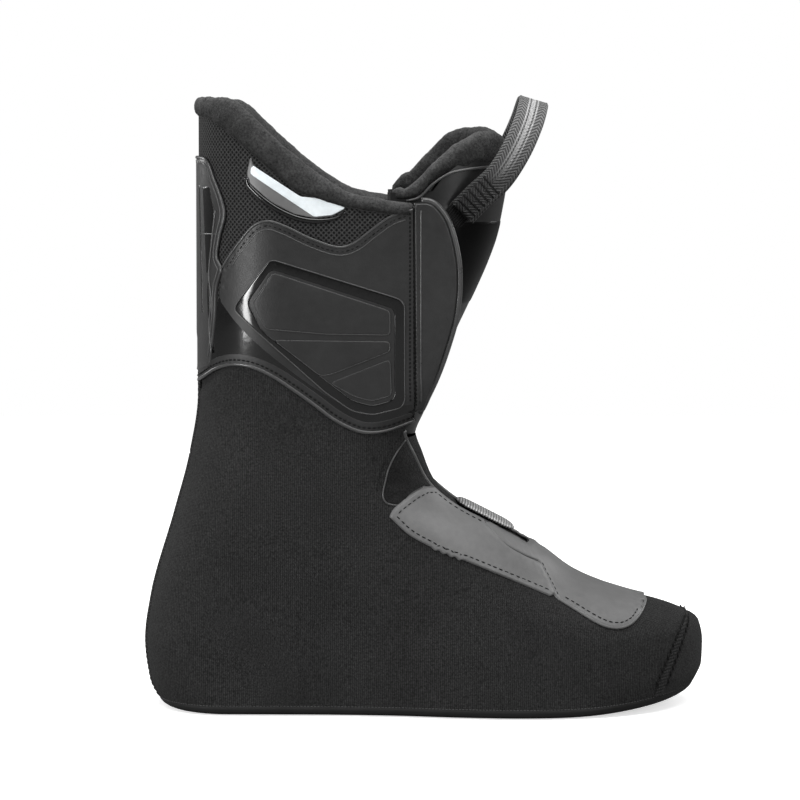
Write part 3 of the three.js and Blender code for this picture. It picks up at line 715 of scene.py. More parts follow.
def pile(name, dark, light, size=0.0012, painted_top_light=False):
    """Brushed fleece or napped mesh; the top-lit option paints light on upward faces and shade on downward
    ones.
    """
    material, tree, shader = nodes_of(name)
    fibre = noise(tree, size, 4.0, 0.75)
    tuft = noise(tree, size * 5, 2.0)
    colour = ramp(tree, fibre, [(0.32, dark), (0.5, (dark + light) / 2), (0.7, light)])
    colour = tint(tree, colour, tuft, (0.3, 0.8), (0.7, 1.2))
    colour = tint(tree, colour, noise(tree, 0.03, 2.0), (0.3, 0.9), (0.7, 1.1))
    if painted_top_light:
        # Painted light and shade: the colour follows the surface normal, paler facing up and darker facing
        # down.
        facing = add_node(tree, "ShaderNodeTexCoord").outputs["Normal"]
        upward = add_node(tree, "ShaderNodeSeparateXYZ", Vector=facing).outputs[2]
        colour = tint(tree, colour, scaled(tree, upward, 0.5, 0.5), (0.2, 0.3), (0.55, 0.85), (0.9, 1.5))
    bump(tree, shader, (tuft, 0.0012, 0.5), (fibre, 0.0007, 0.8))
    finish_shader(tree, shader, colour, 0.97, 0.06, sheen=0.1)
    return material


def grained(name, dark, light, roughness=0.5, size=0.0009, height=0.00008, specular=0.35):
    """Moulded plate or coated leather with a fine pebble and slight wear."""
    material, tree, shader = nodes_of(name)
    pebble = add_node(tree, "ShaderNodeTexVoronoi", Vector=place(tree), Scale=1 / size).outputs["Distance"]
    cloud = noise(tree, 0.03, 4.0)
    worn = noise(tree, 0.004, 4.0)
    colour = tint(tree, ramp(tree, cloud, [(0.3, dark), (0.7, light)]), worn, (0.35, 0.93), (0.7, 1.06))
    bump(tree, shader, (cloud, 0.0012, 0.12), (pebble, height, 0.6))
    finish_shader(tree, shader, colour, scaled(tree, worn, 0.16, roughness - 0.08), specular)
    return material


def herringbone(name):
    """Webbing with chevron edges and silver stripes along its middle; a height ramp paints it black towards
    its foot and pale higher up, as painted shade and light.
    """
    material, tree, shader = nodes_of(name)
    uv = add_node(tree, "ShaderNodeUVMap", uv_map="weave")
    parts = add_node(tree, "ShaderNodeSeparateXYZ", Vector=uv.outputs[0])
    across = math_node(tree, "ABSOLUTE", parts.outputs[0])
    fold = math_node(tree, "ABSOLUTE", math_node(tree, "SUBTRACT", across, 0.0052))
    slope = math_node(tree, "ADD", parts.outputs[1], fold)
    chevron = scaled(tree, ripple(tree, slope, 0.0019), 0.5, 0.5)
    stripe = math_node(tree, "GREATER_THAN", ripple(tree, across, 0.0019), -0.2)
    silver = product(tree, stripe, math_node(tree, "LESS_THAN", across, 0.0026))
    black = ramp(tree, chevron, [(0.2, 0.006), (0.9, 0.034)])
    pale = ramp(tree, chevron, [(0.2, 0.05), (0.9, 0.22)])
    light = ramp(tree, noise(tree, 0.0008), [(0.3, 0.25), (0.7, 0.6)])
    # Painted light and shade by height: the strap fades to black below 268 mm and to its pale lit colours
    # above 298 mm.
    height = add_node(tree, "ShaderNodeSeparateXYZ", Vector=place(tree)).outputs[2]
    painted_light_by_height = product(tree, math_node(tree, "SUBTRACT", height, 0.268), 1 / 0.03)
    painted_light_by_height = ramp(tree, painted_light_by_height, [(0.0, 0.0), (1.0, 1.0)])
    colour = mixed(tree, painted_light_by_height, black, mixed(tree, silver, pale, light))
    bump(tree, shader, (chevron, 0.0004, 0.7), (silver, 0.0003, 0.5))
    finish_shader(tree, shader, colour, 0.6, 0.35, sheen=0.05)
    return material


def ribbed_silver(name):
    material, tree, shader = nodes_of(name)
    ribs = bands(tree, weave_uv(tree), 0.0012, "Y")
    colour = ramp(tree, ribs, [(0.1, 0.2), (0.9, 0.6)])
    colour = tint(tree, colour, noise(tree, 0.0012), (0.3, 0.6), (0.7, 1.2))
    bump(tree, shader, (ribs, 0.0004, 0.6))
    finish_shader(tree, shader, colour, 0.38, 0.6)
    shader.inputs["Metallic"].default_value = 0.35
    return material


CLOTH = ribbed_textile("ribbed_textile", 0.018, 0.034, 0.001)
TAPE = ribbed_textile("tape_textile", 0.018, 0.04, 0.0016, HALF_PI)
MESH = dotted_mesh("air_mesh", 0.004, 0.034, 0.0018)
BRUSHED = pile("brushed_mesh", 0.004, 0.022, 0.0011)
# The grey fleece carries painted top light: paler upward faces, darker downward ones.
FLEECE = pile("grey_fleece", 0.018, 0.07, painted_top_light=True)
LINING = pile("lining_fleece", 0.025, 0.07, 0.0014)
PLATE = grained("matte_plate", 0.021, 0.029, 0.44)
FLAP_FILM = grained("flap_film", 0.022, 0.030, 0.34, height=0.00004, specular=0.45)
GLOSS = grained("gloss_film", 0.0018, 0.003, 0.14, height=0.00001, specular=0.6)
SPINE_SKIN = grained("spine_plate", 0.026, 0.034, 0.34, specular=0.5)
SHADE = grained("tongue_film", 0.011, 0.016, 0.36, height=0.00002, specular=0.35)
DARK_GLOSS = grained("dark_window", 0.001, 0.0016, 0.32, height=0.00001, specular=0.1)
LEATHER = grained("grey_leather", 0.115, 0.15, 0.46, 0.0007, 0.00005, 0.4)
RUBBER = grained("sole_rubber", 0.010, 0.016, 0.7, 0.0012, 0.0001, 0.25)
THREAD = grained("black_thread", 0.003, 0.006, 0.7, 0.0004, 0.00005, 0.2)
PALE_THREAD = grained("grey_thread", 0.07, 0.1, 0.7, 0.0004, 0.00005, 0.2)
PIPE = grained("dark_piping", 0.045, 0.06, 0.3, 0.0006, 0.00003, 0.6)
FILM = grained("label_film", (0.74, 0.8, 0.83), (0.82, 0.87, 0.89), 0.35, 0.002, 0.00002, 0.5)
STRIP = grained("label_strip", 0.12, 0.16, 0.4, 0.001, 0.00002, 0.4)
BOARD = grained("fibre_board", 0.12, 0.18, 0.9, 0.002, 0.0002, 0.1)
FOAM = pile("foam", 0.02, 0.045, 0.0008)
WEBBING = herringbone("herringbone_webbing")
BLACK_WEB = ribbed_textile("black_webbing", 0.006, 0.02, 0.0012, 0.7)
SILVER = ribbed_silver("silver_ribs")

CAD_FINISHES = {"heel_counter": BOARD, "spine_stiffener": BOARD}
for node_name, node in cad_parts.items():
    node.data.materials.clear()
    node.data.materials.append(CAD_FINISHES.get(node_name, FOAM))


def place_piece(piece, body, slot, *nodes, padded=None):
    """Rides a piece on its body and hides the CAD nodes it stands for."""
    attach(piece, body)
    if nodes:
        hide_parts(*nodes)
    return piece


def sewn(name, parts, material, body, slot, *nodes, padded=None):
    """Joins parts into one piece and places it."""
    place_piece(joined(name, parts, material), body, slot, *nodes, padded=padded)


# ---- lines of the pattern ----

CUFF_EDGE = spline(
    [(-122, 162), (-114, 168), (-105.5, 174.2), (-97, 177), (-87.5, 176.3), (-77.6, 172.2), (-66.9, 165.2),
     (-56.1, 157.4), (-45.4, 149.4), (-34.7, 144.2), (-27.5, 143.2), (-19.6, 144.2), (-11, 147),
     (-6.6, 148.5)]
)
ROLL_EDGE = spline(
    [(-122, 301), (-111, 299.6), (-101, 293.5), (-87, 281.5), (-64, 263), (-53, 259), (-40, 255.5),
     (-20, 252), (0, 251)]
)
ROLL_CREST = spline(
    [(-122, 309.5), (-106, 311), (-96, 309), (-87, 301), (-69.5, 284.8), (-58, 275.5), (-46.5, 267.5),
     (-38, 263), (-17, 259), (0, 257)]
)
SPINE_EDGE = spline(
    [(-116, 279.6), (-109.5, 278.6), (-105.5, 270), (-99.8, 253), (-102.5, 240), (-103.8, 230),
     (-101.5, 224.5), (-104, 215), (-105, 200), (-108, 175)]
)
PANEL_TOP = spline(
    [(-101.5, 224.8), (-94, 236), (-85, 246.6), (-78, 248.8), (-70, 246.4), (-57, 240.2), (-43.5, 236),
     (-36, 238), (-28, 244), (-18, 251), (-6.9, 254.6)]
)
PANEL_REAR = spline([(-103, 211.5), (-102.2, 217), (-101.5, 224.8)])
PLATE_EDGE = spline(
    [(-103, 211.5), (-101.5, 207.4), (-91.5, 195), (-76.5, 181.4), (-57, 166.5), (-42.5, 158), (-28, 154.6),
     (-6.9, 157.3)]
)
FLAP_EDGE = spline(
    [(-6.3, 153), (-2.6, 153.6), (0.4, 161), (5, 172.6), (10, 188), (13.4, 201), (15, 216), (14.2, 231),
     (9.8, 247.5), (4.6, 255.2), (0.5, 257.6), (-6.3, 257.6)]
)


def height_on(line, x):
    order = np.argsort(line[:, 0])
    return np.interp(x, line[order, 0], line[order, 1])


# ---- foot part ----


def ring_column(z, u, inset, side):
    """Point of the ring at a share u from the back middle to the front middle."""
    return last(lerp(back_s(z), front_s(z), u), z, inset, side)


def slab(name, profile, material, count=96):
    """Flat-lying piece whose (level, inset) profile runs from its underside to its top."""
    u = 0.5 - 0.5 * np.cos(np.linspace(0, math.pi, count))
    rows = []
    for z, inset in profile:
        outer = ring_column(z, u, inset, OUTER)
        inner = ring_column(z, u, inset, INNER)
        rows.append(np.vstack([outer, inner[-2:0:-1]]))
    points, faces, _ = grid_arrays(np.array(rows), closed_u=True)
    columns = 2 * (count - 1)
    for base, flip in ((0, True), ((len(profile) - 1) * columns, False)):
        for i in range(count - 1):
            far = (columns - i) % columns
            face = [base + i, base + i + 1, base + (columns - i - 1) % columns, base + far]
            face = [k for n, k in enumerate(face) if k not in face[:n]]
            faces.append(face[::-1] if flip else face)
    return mesh_piece(name, points, faces, points[:, :2].copy(), material)


def make_sole():
    profile = [(0.0, 3.2), (0.25, 2.2), (0.9, 0.9), (1.9, -0.1), (3.0, -0.5), (4.0, -0.5),
               (SOLE + 0.1, -0.25), (SOLE + 0.3, 0.6)]
    place_piece(slab("sole", profile, RUBBER), "foot", "rubber", "outsole")
    board = [(SKIN_FOOT, 2.6), (5.0, 2.3), (5.9, 2.3), (6.2, 2.6)]
    place_piece(slab("board", board, BOARD), "foot", "board", "lasting_board")
    parts = []
    for _, side in SIDES:
        line = ring_column(SOLE + 0.45, np.linspace(0.0, 0.97, 220), -0.25, side)
        parts += stitches(line, np.tile([0.0, side, 0.0], (len(line), 1)), 1.2, 1.7, 0.14, 0.05)
    sewn("sole_stitching", parts, PALE_THREAD, "foot", "rubber")


def level_run(level, count):
    """A level line from the back middle to the front middle."""
    return np.stack([np.linspace(back_s(level), front_s(level), count), np.full(count, level)], -1)


def quarter_runs():
    """Outline of one half of the foot's skin, from the heel round to the throat."""
    front = meridian(front_s, SKIN_FOOT, THROAT_FOOT)
    gap = meridian(throat_s, THROAT_FOOT, 148)
    top = laid(CUFF_EDGE[CUFF_EDGE[:, 0] > -115] + [0, 4])
    top = np.vstack([back_point(top[0, 1] - 2), top])
    across, over = straight([front[-1], gap[0]]), straight([gap[-1], top[-1]])
    back = meridian(back_s, top[0, 1], SKIN_FOOT)
    return [
        (level_run(SKIN_FOOT, 240), False), (front, False), (across, True), (gap, True), (over, False),
        (top[::-1], False), (back, False),
    ]


def tuck(s, z, gap):
    """The skin dips in under the cuff and lies flat elsewhere."""
    edge = height_on(CUFF_EDGE, np.minimum(s, -6))
    return 0.9 * smooth(z, edge - 0.5, edge + 1.5) * (s < 10)


def make_quarters():
    look = dict(top=0.0, foot=0.6, edge=1.4, step=2.4, relief=tuck)
    for name, side in SIDES:
        piece = panel(f"quarter_{name}", quarter_runs(), side, CLOTH, **look)
        place_piece(piece, "foot", "textile", f"lower_quarter_{name}")


def seam_half(z):
    """s of the toe seam at a level."""
    return s_of(np.interp(z, [0, 13.8, 46, 60, 80], [115.4, 119.6, 134.6, 140.2, 145]), z)


def make_toe():
    crown = float(toe_crown())
    bottom = np.linspace(float(seam_half(SKIN_FOOT)), float(front_s(SKIN_FOOT)), 60)
    runs = [
        (np.stack([bottom, np.full(60, SKIN_FOOT)], -1), False), (meridian(front_s, SKIN_FOOT, crown), False),
        (meridian(seam_half, crown, SKIN_FOOT), True),
    ]
    parts = both(runs, top=-0.35, foot=0.1, edge=1.2, step=2.2)
    sewn("toe_textile", parts, CLOTH, "foot", "textile", "toe_cap")
    u = np.linspace(-1, 1, 9)
    levels = np.linspace(SKIN_FOOT + 0.4, crown, 90)[:, None] + 0 * u
    s = np.minimum(seam_half(levels) + u * 3.0, front_s(levels))
    inset = -0.35 - 0.3 * dome((1 - np.abs(u)) / 0.3)
    rows, tape = [], []
    for _, side in SIDES:
        for shift in (-3.4, 4.2):
            rows += stitched(seam_line(shift), side, -0.75, length=2.0, pitch=1.75, radius=0.4, slant=0.95)
        tape.append(grid_arrays(last(s, levels, inset, side), np.stack([s, levels], -1), flip=side > 0))
    sewn("toe_tape", tape, TAPE, "foot", "textile", "toe_seam_tape")
    sewn("toe_zigzag", rows, THREAD, "foot", "textile")


def toe_crown():
    """Level at which the toe seam meets the front middle line."""
    z = np.linspace(30, 60, 400)
    gap = front_s(z) - seam_half(z)
    return z[np.argmax(gap < 0.5)] if (gap < 0.5).any() else z[-1]


def seam_line(shift):
    z = np.linspace(9, float(toe_crown()), 90)
    s = seam_half(z) + shift
    keep = s < front_s(z) - 14
    return np.stack([s[keep], z[keep]], -1)


def make_heel_tape():
    z = np.linspace(SKIN_FOOT + 0.3, 172, 110)
    u = np.linspace(-9, 9, 25)
    levels = z[:, None] + 0 * u
    inset = 0.1 - 0.75 * dome((9 - np.abs(u)) / 1.2) + 0.35 * bell(levels, 129, 0.6)
    points = last(back_s(levels) + np.abs(u), levels, inset, np.where(u < 0, OUTER, INNER))
    points[:, len(u) // 2, 1] = 0
    arrays = grid_arrays(points, np.stack([u + 0 * levels, levels], -1), flip=True)
    sewn("heel_tape", [arrays], TAPE, "foot", "textile", "heel_seam_tape")
    line = np.stack([back_s(z) + 7.2, z], -1)
    rows = []
    for _, side in SIDES:
        rows += stitched(line, side, -0.7, length=1.8, pitch=2.8, radius=0.26)
    sewn("heel_tape_stitching", rows, THREAD, "foot", "textile")


WINDOW_RIM = spline(
    [(-6, 143.5), (-14, 134), (-18.5, 126), (-20.8, 118), (-21.9, 111.5), (-20.5, 108), (-17.5, 106.8),
     (-14, 106.5), (-6.9, 112), (-1.3, 114.4)]
)


def make_window():
    """Napped mesh window at the ankle, bounded in front by the throat."""
    rim = laid(WINDOW_RIM)
    rim = rim[rim[:, 0] < throat_s(rim[:, 1]) - 0.5]
    gap = meridian(throat_s, float(rim[-1, 1]), float(rim[0, 1])) - [0.4, 0]
    dotted = offset(rim, -3.6)
    dotted = dotted[(dotted[:, 1] > 113) & (dotted[:, 0] < throat_s(dotted[:, 1]) - 1)]
    front, link = straight([gap[-1], rim[0]]), straight([rim[-1], gap[0]])
    runs = [(rim, True), (link, False), (gap, False), (front, False)]
    for name, side in SIDES:
        piece = panel(f"window_{name}", runs, side, BRUSHED, top=-0.25, foot=0.1, edge=0.8, step=2.0)
        place_piece(piece, "foot", "mesh", f"ankle_window_{name}")
        seam = piping(rim[rim[:, 1] > 104], side, -0.2, 0.42)
        dots = stitched(dotted, side, -0.05, length=1.2, pitch=2.2, radius=0.27)
        sewn(f"window_seam_{name}", [seam], PIPE, "foot", "textile")
        sewn(f"window_stitching_{name}", dots, THREAD, "foot", "textile")


def make_throat_binding():
    line = meridian(throat_s, THROAT_FOOT + 2, 143)
    inset = np.linspace(0.4, CAVITY, 7)
    for name, side in SIDES:
        cord = piping(line - [0.6, 0], side, 0.3, 1.3, 0.7)
        points = last(line[:, :1], line[:, 1:] + 0 * inset, 0.0, side)
        points[..., 0] -= inset * 0.9
        edge = grid_arrays(points, flip=side < 0)
        sewn(f"throat_binding_{name}", [cord], PIPE, "foot", "textile")
        sewn(f"throat_edge_{name}", [edge], CLOTH, "foot", "textile")


OVERLAY_SEAM = spline([(27.5, 95.5), (38.5, 85.6), (47, 80.4), (56, 76)])
SEAM_CORNER = straight([(56, 76), (63.3, 60.8)])
REAR_HEAD = spline([(-18.6, 100.7), (-17.8, 103), (-15.2, 106), (-6.9, 112), (-1.3, 114.4)])
REAR_LOW = spline([(-18.6, 100.7), (-9.1, 92), (4.2, 84.8), (20.8, 78.1), (43, 68.6), (61.8, 60.4)], 0.8)
NUBS = (REAR_LOW[:, 0] > 2) & (REAR_LOW[:, 0] < 18)
REAR_LOW[:, 1] -= np.where(NUBS, 0.9 * np.sin((REAR_LOW[:, 0] - 2) * math.pi / 4) ** 2, 0)
FRONT_LOW = spline(
    [(65.1, 59.3), (76.2, 52.7), (82.9, 48.8), (89.5, 45.8), (96.2, 44.7), (101.7, 46), (106.1, 49.3),
     (110, 53.8)]
)


def rear_top():
    """Upper edge of the rear overlay, along the throat, from its head down to the seam."""
    head, seam = laid(REAR_HEAD)[-1], laid(OVERLAY_SEAM)[0]
    line = meridian(throat_s, float(seam[1]) + 2, float(head[1]) - 0.5, 1.2)[::-1]
    line = line - [0.4, 0]
    return np.vstack([straight([head, line[0]]), line[1:], straight([line[-1], seam])[1:]])


def vamp_front():
    """Front edge of the vamp, carried on to the front middle line."""
    low = laid(FRONT_LOW)
    middle = np.array([float(front_s(CROWN_LEVEL)), CROWN_LEVEL])
    return np.vstack([low, straight([low[-1], middle])[1:]])


def vamp_runs():
    front = meridian(front_s, CROWN_LEVEL, THROAT_FOOT + 0.2)
    gap = meridian(throat_s, THROAT_FOOT + 0.2, float(OVERLAY_SEAM[0, 1])) - [0.4, 0]
    seam = np.vstack([laid(OVERLAY_SEAM), laid(SEAM_CORNER)[1:]])
    across, link = straight([front[-1], gap[0]]), straight([gap[-1], seam[0]])
    return [(vamp_front(), True), (front, False), (across, True), (gap, True), (link, False), (seam, True)]


def overlay_rim(s, z, gap):
    """A raised rim outside the stitch groove."""
    return -0.22 * bell(gap, 1.0, 0.5) + 0.3 * bell(gap, 2.6, 0.55)


def make_overlays():
    """Grey coated panels that hold the instep, stitched round their edges."""
    low, head, seam, upper = laid(REAR_LOW), laid(REAR_HEAD), laid(SEAM_CORNER), rear_top()
    corner = laid(straight([(61.8, 60.4), (63.3, 60.8)]))
    edges = (low, corner, seam[::-1], laid(OVERLAY_SEAM)[::-1], upper[::-1], head[::-1])
    look = dict(foot=-0.1, edge=0.9, step=2.2, relief=overlay_rim)
    seams = [
        (offset(low, 2.6)[2:-2], -1.2, dict(length=2.0, pitch=3.2, radius=0.3)),
        (offset(np.vstack([head, upper[1:]]), -2.8)[3:-4], -1.2, dict(length=2.0, pitch=3.2, radius=0.3)),
        (offset(seam, 1.2), -1.25, dict(length=1.8, pitch=3.0, radius=0.28)),
        (offset(laid(FRONT_LOW), 2.4)[2:-4], -1.25, dict(length=2.0, pitch=3.1, radius=0.3)),
    ]
    runs = [(line, True) for line in edges]
    for name, side in SIDES:
        piece = panel(f"overlay_{name}", runs, side, LEATHER, top=-1.25, **look)
        place_piece(piece, "foot", "leather", f"instep_overlay_{name}")
        rows = []
        for line, inset, sizes in seams:
            rows += stitched(line, side, inset, **sizes)
        sewn(f"overlay_stitching_{name}", rows, THREAD, "foot", "leather")
    sewn("vamp", both(vamp_runs(), top=-1.1, **look), LEATHER, "foot", "leather", "vamp_overlay")
    cords = [piping(vamp_front(), side, -0.65, 0.75) for _, side in SIDES]
    sewn("vamp_edge", cords, LEATHER, "foot", "leather")


# ---- throat filling ----


def make_tongue_base():
    """Padded foot of the tongue, seen through the throat."""
    v = np.linspace(-1, 1, 31)
    side = np.where(v < 0, OUTER, INNER)
    rows = []
    for level in np.linspace(THROAT_FOOT - 1, TONGUE_FOOT - 0.8, 60):
        half = max(float(throat_half(level)) - 0.8, 3) * np.abs(v)
        s = s_at_half(np.full(len(v), level), half, 1.6)
        row = last(s, level, 1.6 + 2.2 * np.abs(v) ** 6, side)
        row[:, 1] = half * np.sign(v) + swing(row[:, 0])
        rows.append(row)
    sewn("tongue_base", [grid_arrays(np.array(rows))], BRUSHED, "foot", "foam", "tongue_root", padded=0.5)


def make_silver_roll():
    """Flat ribbed roll that ends the tongue in the throat."""
    start, end = np.array([15.5, 0, 105.6]), np.array([45, 0, 90.6])
    slope = unit(end - start)
    normal = np.array([-slope[2], 0, slope[0]])
    half = float(throat_half(92)) - 0.9
    share = np.linspace(0, 1, 41)[:, None]
    taper = np.sqrt(np.maximum(1 - (2 * share - 1) ** 6, 0.02))
    turn = np.linspace(0, 2 * math.pi, 48, endpoint=False)
    wave = 1 + 0.035 * np.cos(share * 2 * math.pi * 14)
    high = 1.8 * taper * wave * np.sign(np.sin(turn)) * np.abs(np.sin(turn)) ** 0.8
    points = (start + (end - start) * share)[:, None] + high[..., None] * normal
    points[..., 1] += half * taper * np.cos(turn)
    uv = np.stack(np.broadcast_arrays(turn * 8, share * 27), -1)
    piece = mesh_piece("silver_roll", *capped_tube(points, uv), SILVER)
    place_piece(piece, "foot", "silver", "tongue_end_roll", padded=0.7)


# ---- cuff ----


def cuff_line(line, front_x, rise, step_back):
    """A line of the cuff on the last, from the back middle to front_x."""
    cut = line[(line[:, 0] > -114) & (line[:, 0] < front_x)]
    cut = laid(np.vstack([cut, [[front_x, height_on(line, front_x)]]]) + [0, rise])
    return np.vstack([back_point(cut[0, 1] + step_back), cut])


def cuff_runs(low, front_x, rise):
    """Half of the cuff from a lower line up to the collar roll, and from the back to front_x."""
    bottom = cuff_line(low, front_x, 0, -2)
    top = cuff_line(ROLL_EDGE, front_x, rise, 1)
    front = straight([bottom[-1], top[-1]])
    back = meridian(back_s, top[0, 1], bottom[0, 1])
    return [(bottom, True), (front, False), (top[::-1], False), (back, False)]


def make_cuff_mesh():
    runs = cuff_runs(CUFF_EDGE + [0, 1.0], STITCH_X - 0.4, 3.0)
    sewn("cuff_knit", both(runs, top=0.05, foot=0.4, edge=1.0, step=2.6), MESH, "foot", "mesh", "cuff_mesh")


def make_lining():
    """Fleece lining of the foot and cuff, with the padding behind it."""
    low, front_x = 12.2, STITCH_X - 0.6
    front = meridian(front_s, low, THROAT_FOOT, 2.5)
    gap = meridian(throat_s, THROAT_FOOT, 147, 2.5)
    top = cuff_runs(CUFF_EDGE, front_x, 2.0)[2][0]
    rise = straight([(front_x, 150), top[0]], 2.5)
    outline = (
        level_run(low, 150), front, straight([front[-1], gap[0]]), gap, straight([gap[-1], rise[0]]), rise,
        top, meridian(back_s, top[-1, 1], low, 2.5),
    )
    runs = [(line, False) for line in outline]
    parts = both(runs, flip=True, top=CAVITY - 0.1, foot=CAVITY - 0.1, step=3.5, relief=quilting)
    sewn(
        "padded_lining", parts, LINING, "foot", "fleece", "quarter_foam", "toe_box_foam", "foot_lining",
        "cuff_foam", "cuff_lining", "ankle_pad_lateral", "ankle_pad_medial", "achilles_pad", padded=0.6,
    )


def quilting(s, z, gap):
    """Shallow sewn channels across the lining of the leg."""
    return -0.8 * bell(np.mod(z - 150, 26), 13, 1.3) * smooth(z, 140, 160)


def make_cuff_front_edge():
    """Padded front edge of the cuff behind the flap's stitch line."""
    inset = np.linspace(0.2, CAVITY, 9)
    levels = np.linspace(148.5, 254, 70)[:, None] + 0 * inset
    for name, side in SIDES:
        points = last(STITCH_X - 0.6, levels, inset, side)
        points[..., 0] += 0.5 * np.sin(np.linspace(0, math.pi, 9))
        sewn(f"cuff_edge_{name}", [grid_arrays(points, flip=side < 0)], CLOTH, "foot", "foam")


# Channel outlines; their dark gloss sheets sit on the plate and stand in for recessed channels, so their
# darkness is partly painted shade.
SPINE_CHANNELS = [
    [(-111.2, 265), (-107.6, 265.5), (-104.9, 253), (-108.4, 221.5), (-109.4, 221.5)],
    [(-113.6, 266), (-112.7, 266), (-111.4, 201), (-112.1, 201)],
    [(-109.2, 214), (-108.1, 221), (-107.6, 200), (-107.7, 184), (-108.3, 184)],
]
SPINE_RIB = [(-104.2, 253.5), (-106.2, 238), (-107.8, 221), (-106.6, 209), (-107.9, 197), (-107, 182)]


def spine_relief(s, z, gap):
    """A rim along the edge and a ridge down the middle of the back."""
    return -0.3 * bell(gap, 1.2, 0.6) - 0.4 * bell(s - back_s(z), 0, 1.2) * smooth(z, 186, 192)


def make_spine():
    """Moulded rear plate with a double rim, dark gloss channels that also paint the shade of their recesses,
    and a rib beside them.
    """
    edge = laid(SPINE_EDGE)
    top = straight([back_point(281.0), edge[0]])
    low = straight([edge[-1], back_point(171.0)])
    runs = [(top, True), (edge, True), (low, True), (meridian(back_s, 171, 281), False)]
    parts = both(runs, top=-1.0, foot=0.0, edge=0.9, step=1.5, back=0.3, relief=spine_relief)
    sewn("spine_shell", parts, SPINE_SKIN, "foot", "plate", "rear_spine")
    cords = [
        (edge[edge[:, 1] > 222], -1.1, 0.7), (offset(edge, -2.6)[4:-4], -1.0, 0.5),
        (laid(spline(SPINE_RIB)), -1.1, 0.6), (laid(straight([(-111, 241.6), (-101.6, 242)])), -1.05, 0.3),
    ]
    rims, channels = [], []
    for _, side in SIDES:
        rims += [piping(line, side, inset, radius) for line, inset, radius in cords]
        # Dark gloss sheets on the channels: gloss film, and painted shade of the recesses.
        for corners in SPINE_CHANNELS:
            outline = laid(rounded(corners, 0.4, 0.8))
            channels.append(sheet([(outline, True)], side, top=-1.12, foot=-0.9, edge=0.3, step=1.2))
    sewn("spine_rims", rims, PIPE, "foot", "plate")
    sewn("spine_channels", channels, GLOSS, "foot", "gloss")


def panel_relief(s, z, gap):
    """Piped edge: a ridge, a stitch groove and a fainter second ridge."""
    return -0.45 * bell(gap, 0.9, 0.55) + 0.3 * bell(gap, 2.2, 0.5) - 0.2 * bell(gap, 4.0, 0.6)


def make_cuff_panels():
    top, rear, low = laid(PANEL_TOP), laid(PANEL_REAR), laid(PLATE_EDGE)
    stitch_line = straight([low[-1], top[-1]])
    runs = [(low, False), (stitch_line, False), (top[::-1], True), (rear[::-1], True)]
    look = dict(top=-0.75, foot=-0.05, edge=0.9, step=2.0, relief=panel_relief)
    for name, side in SIDES:
        piece = panel(f"cuff_plate_{name}", runs, side, PLATE, **look)
        place_piece(piece, "foot", "plate", f"cuff_panel_{name}")
        rows = stitched(offset(top, -2.3)[2:-3], side, -0.75, length=1.5, pitch=2.5, radius=0.24)
        sewn(f"cuff_top_stitching_{name}", rows, THREAD, "foot", "plate")
        cords = [piping(top, side, -0.85, 0.65), piping(offset(top, -4.0)[4:-4], side, -0.7, 0.35)]
        sewn(f"cuff_top_piping_{name}", cords, PIPE, "foot", "plate")


def make_cuff_bands():
    """Glossy band below the plate, with its piping, stitches and hem."""
    low = laid(CUFF_EDGE[CUFF_EDGE[:, 0] > -108.2])
    rear = laid(spline([(-108, 173.4), (-105.2, 200), (-103, 211.5)]))
    edge = laid(PLATE_EDGE + [0, 1.2])
    runs = [(low, True), (straight([low[-1], edge[-1]]), False), (edge[::-1], False), (rear[::-1], False)]
    whole = laid(CUFF_EDGE[CUFF_EDGE[:, 0] > -116.5])
    under, over = offset(whole, 0.6), offset(whole, 5.4)
    hem = [
        (under[:-1], False), (straight([under[-2], over[-2]]), False), (over[:-1][::-1], True),
        (straight([over[0], under[0]]), False),
    ]
    for name, side in SIDES:
        piece = panel(f"cuff_band_{name}", runs, side, GLOSS, top=-0.45, foot=0.1, edge=0.8, step=2.0)
        place_piece(piece, "foot", "gloss", f"cuff_band_{name}")
        cord = piping(whole, side, -0.35, 0.95, 0.8)
        sewn(f"cuff_piping_{name}", [cord], PIPE, "foot", "gloss")
        rows = stitched(offset(whole, 2.2), side, -0.75, length=1.7, pitch=2.6, radius=0.42)
        sewn(f"cuff_stitching_{name}", rows, THREAD, "foot", "gloss")
        piece = panel(f"cuff_hem_{name}", hem, side, PLATE, top=-0.6, foot=-0.1, edge=0.8, step=1.8)
        place_piece(piece, "foot", "plate")


FRAME_RIM = [
    (-77.1, 230.1), (-14, 210.5), (-11, 208), (-11, 159.6), (-13, 155.6), (-27, 152.1), (-37.2, 154.1),
    (-50.5, 163.5), (-95.1, 204.1), (-94.3, 207.3),
]
FRAME_HOLE = [
    (-76.7, 225.2), (-16.1, 205.3), (-16, 160), (-27, 156.8), (-37, 159.6), (-81, 194), (-88.4, 208.4),
]


def rounded(corners, radius=3.0, step=1.2):
    """Closed polygon with rounded corners, as points."""
    corners = np.asarray(corners, float)
    parts = []
    for i, corner in enumerate(corners):
        before, after = corners[i - 1], corners[(i + 1) % len(corners)]
        reach_in = min(radius, np.linalg.norm(before - corner) * 0.45)
        reach_out = min(radius, np.linalg.norm(after - corner) * 0.45)
        start = corner + (before - corner) / np.linalg.norm(before - corner) * reach_in
        end = corner + (after - corner) / np.linalg.norm(after - corner) * reach_out
        t = np.linspace(0, 1, 7)[:, None]
        parts.append((1 - t) ** 2 * start + 2 * t * (1 - t) * corner + t**2 * end)
    ring = np.vstack([*parts, parts[0][:1]])
    return resample(ring, step)


WINDOWS = {
    "upper": [(-75.9, 223.2), (-18.3, 204.3), (-18.3, 192.4), (-49, 192.8), (-79.6, 195.4), (-86, 207.8)],
    "middle": [(-75.5, 189.7), (-18.3, 188.9), (-18.3, 184.2), (-47.4, 172.7), (-53, 171.9)],
    "lower": [(-47.8, 168.2), (-18.3, 180), (-17.6, 162), (-27.2, 159.2), (-36.2, 161.6)],
}


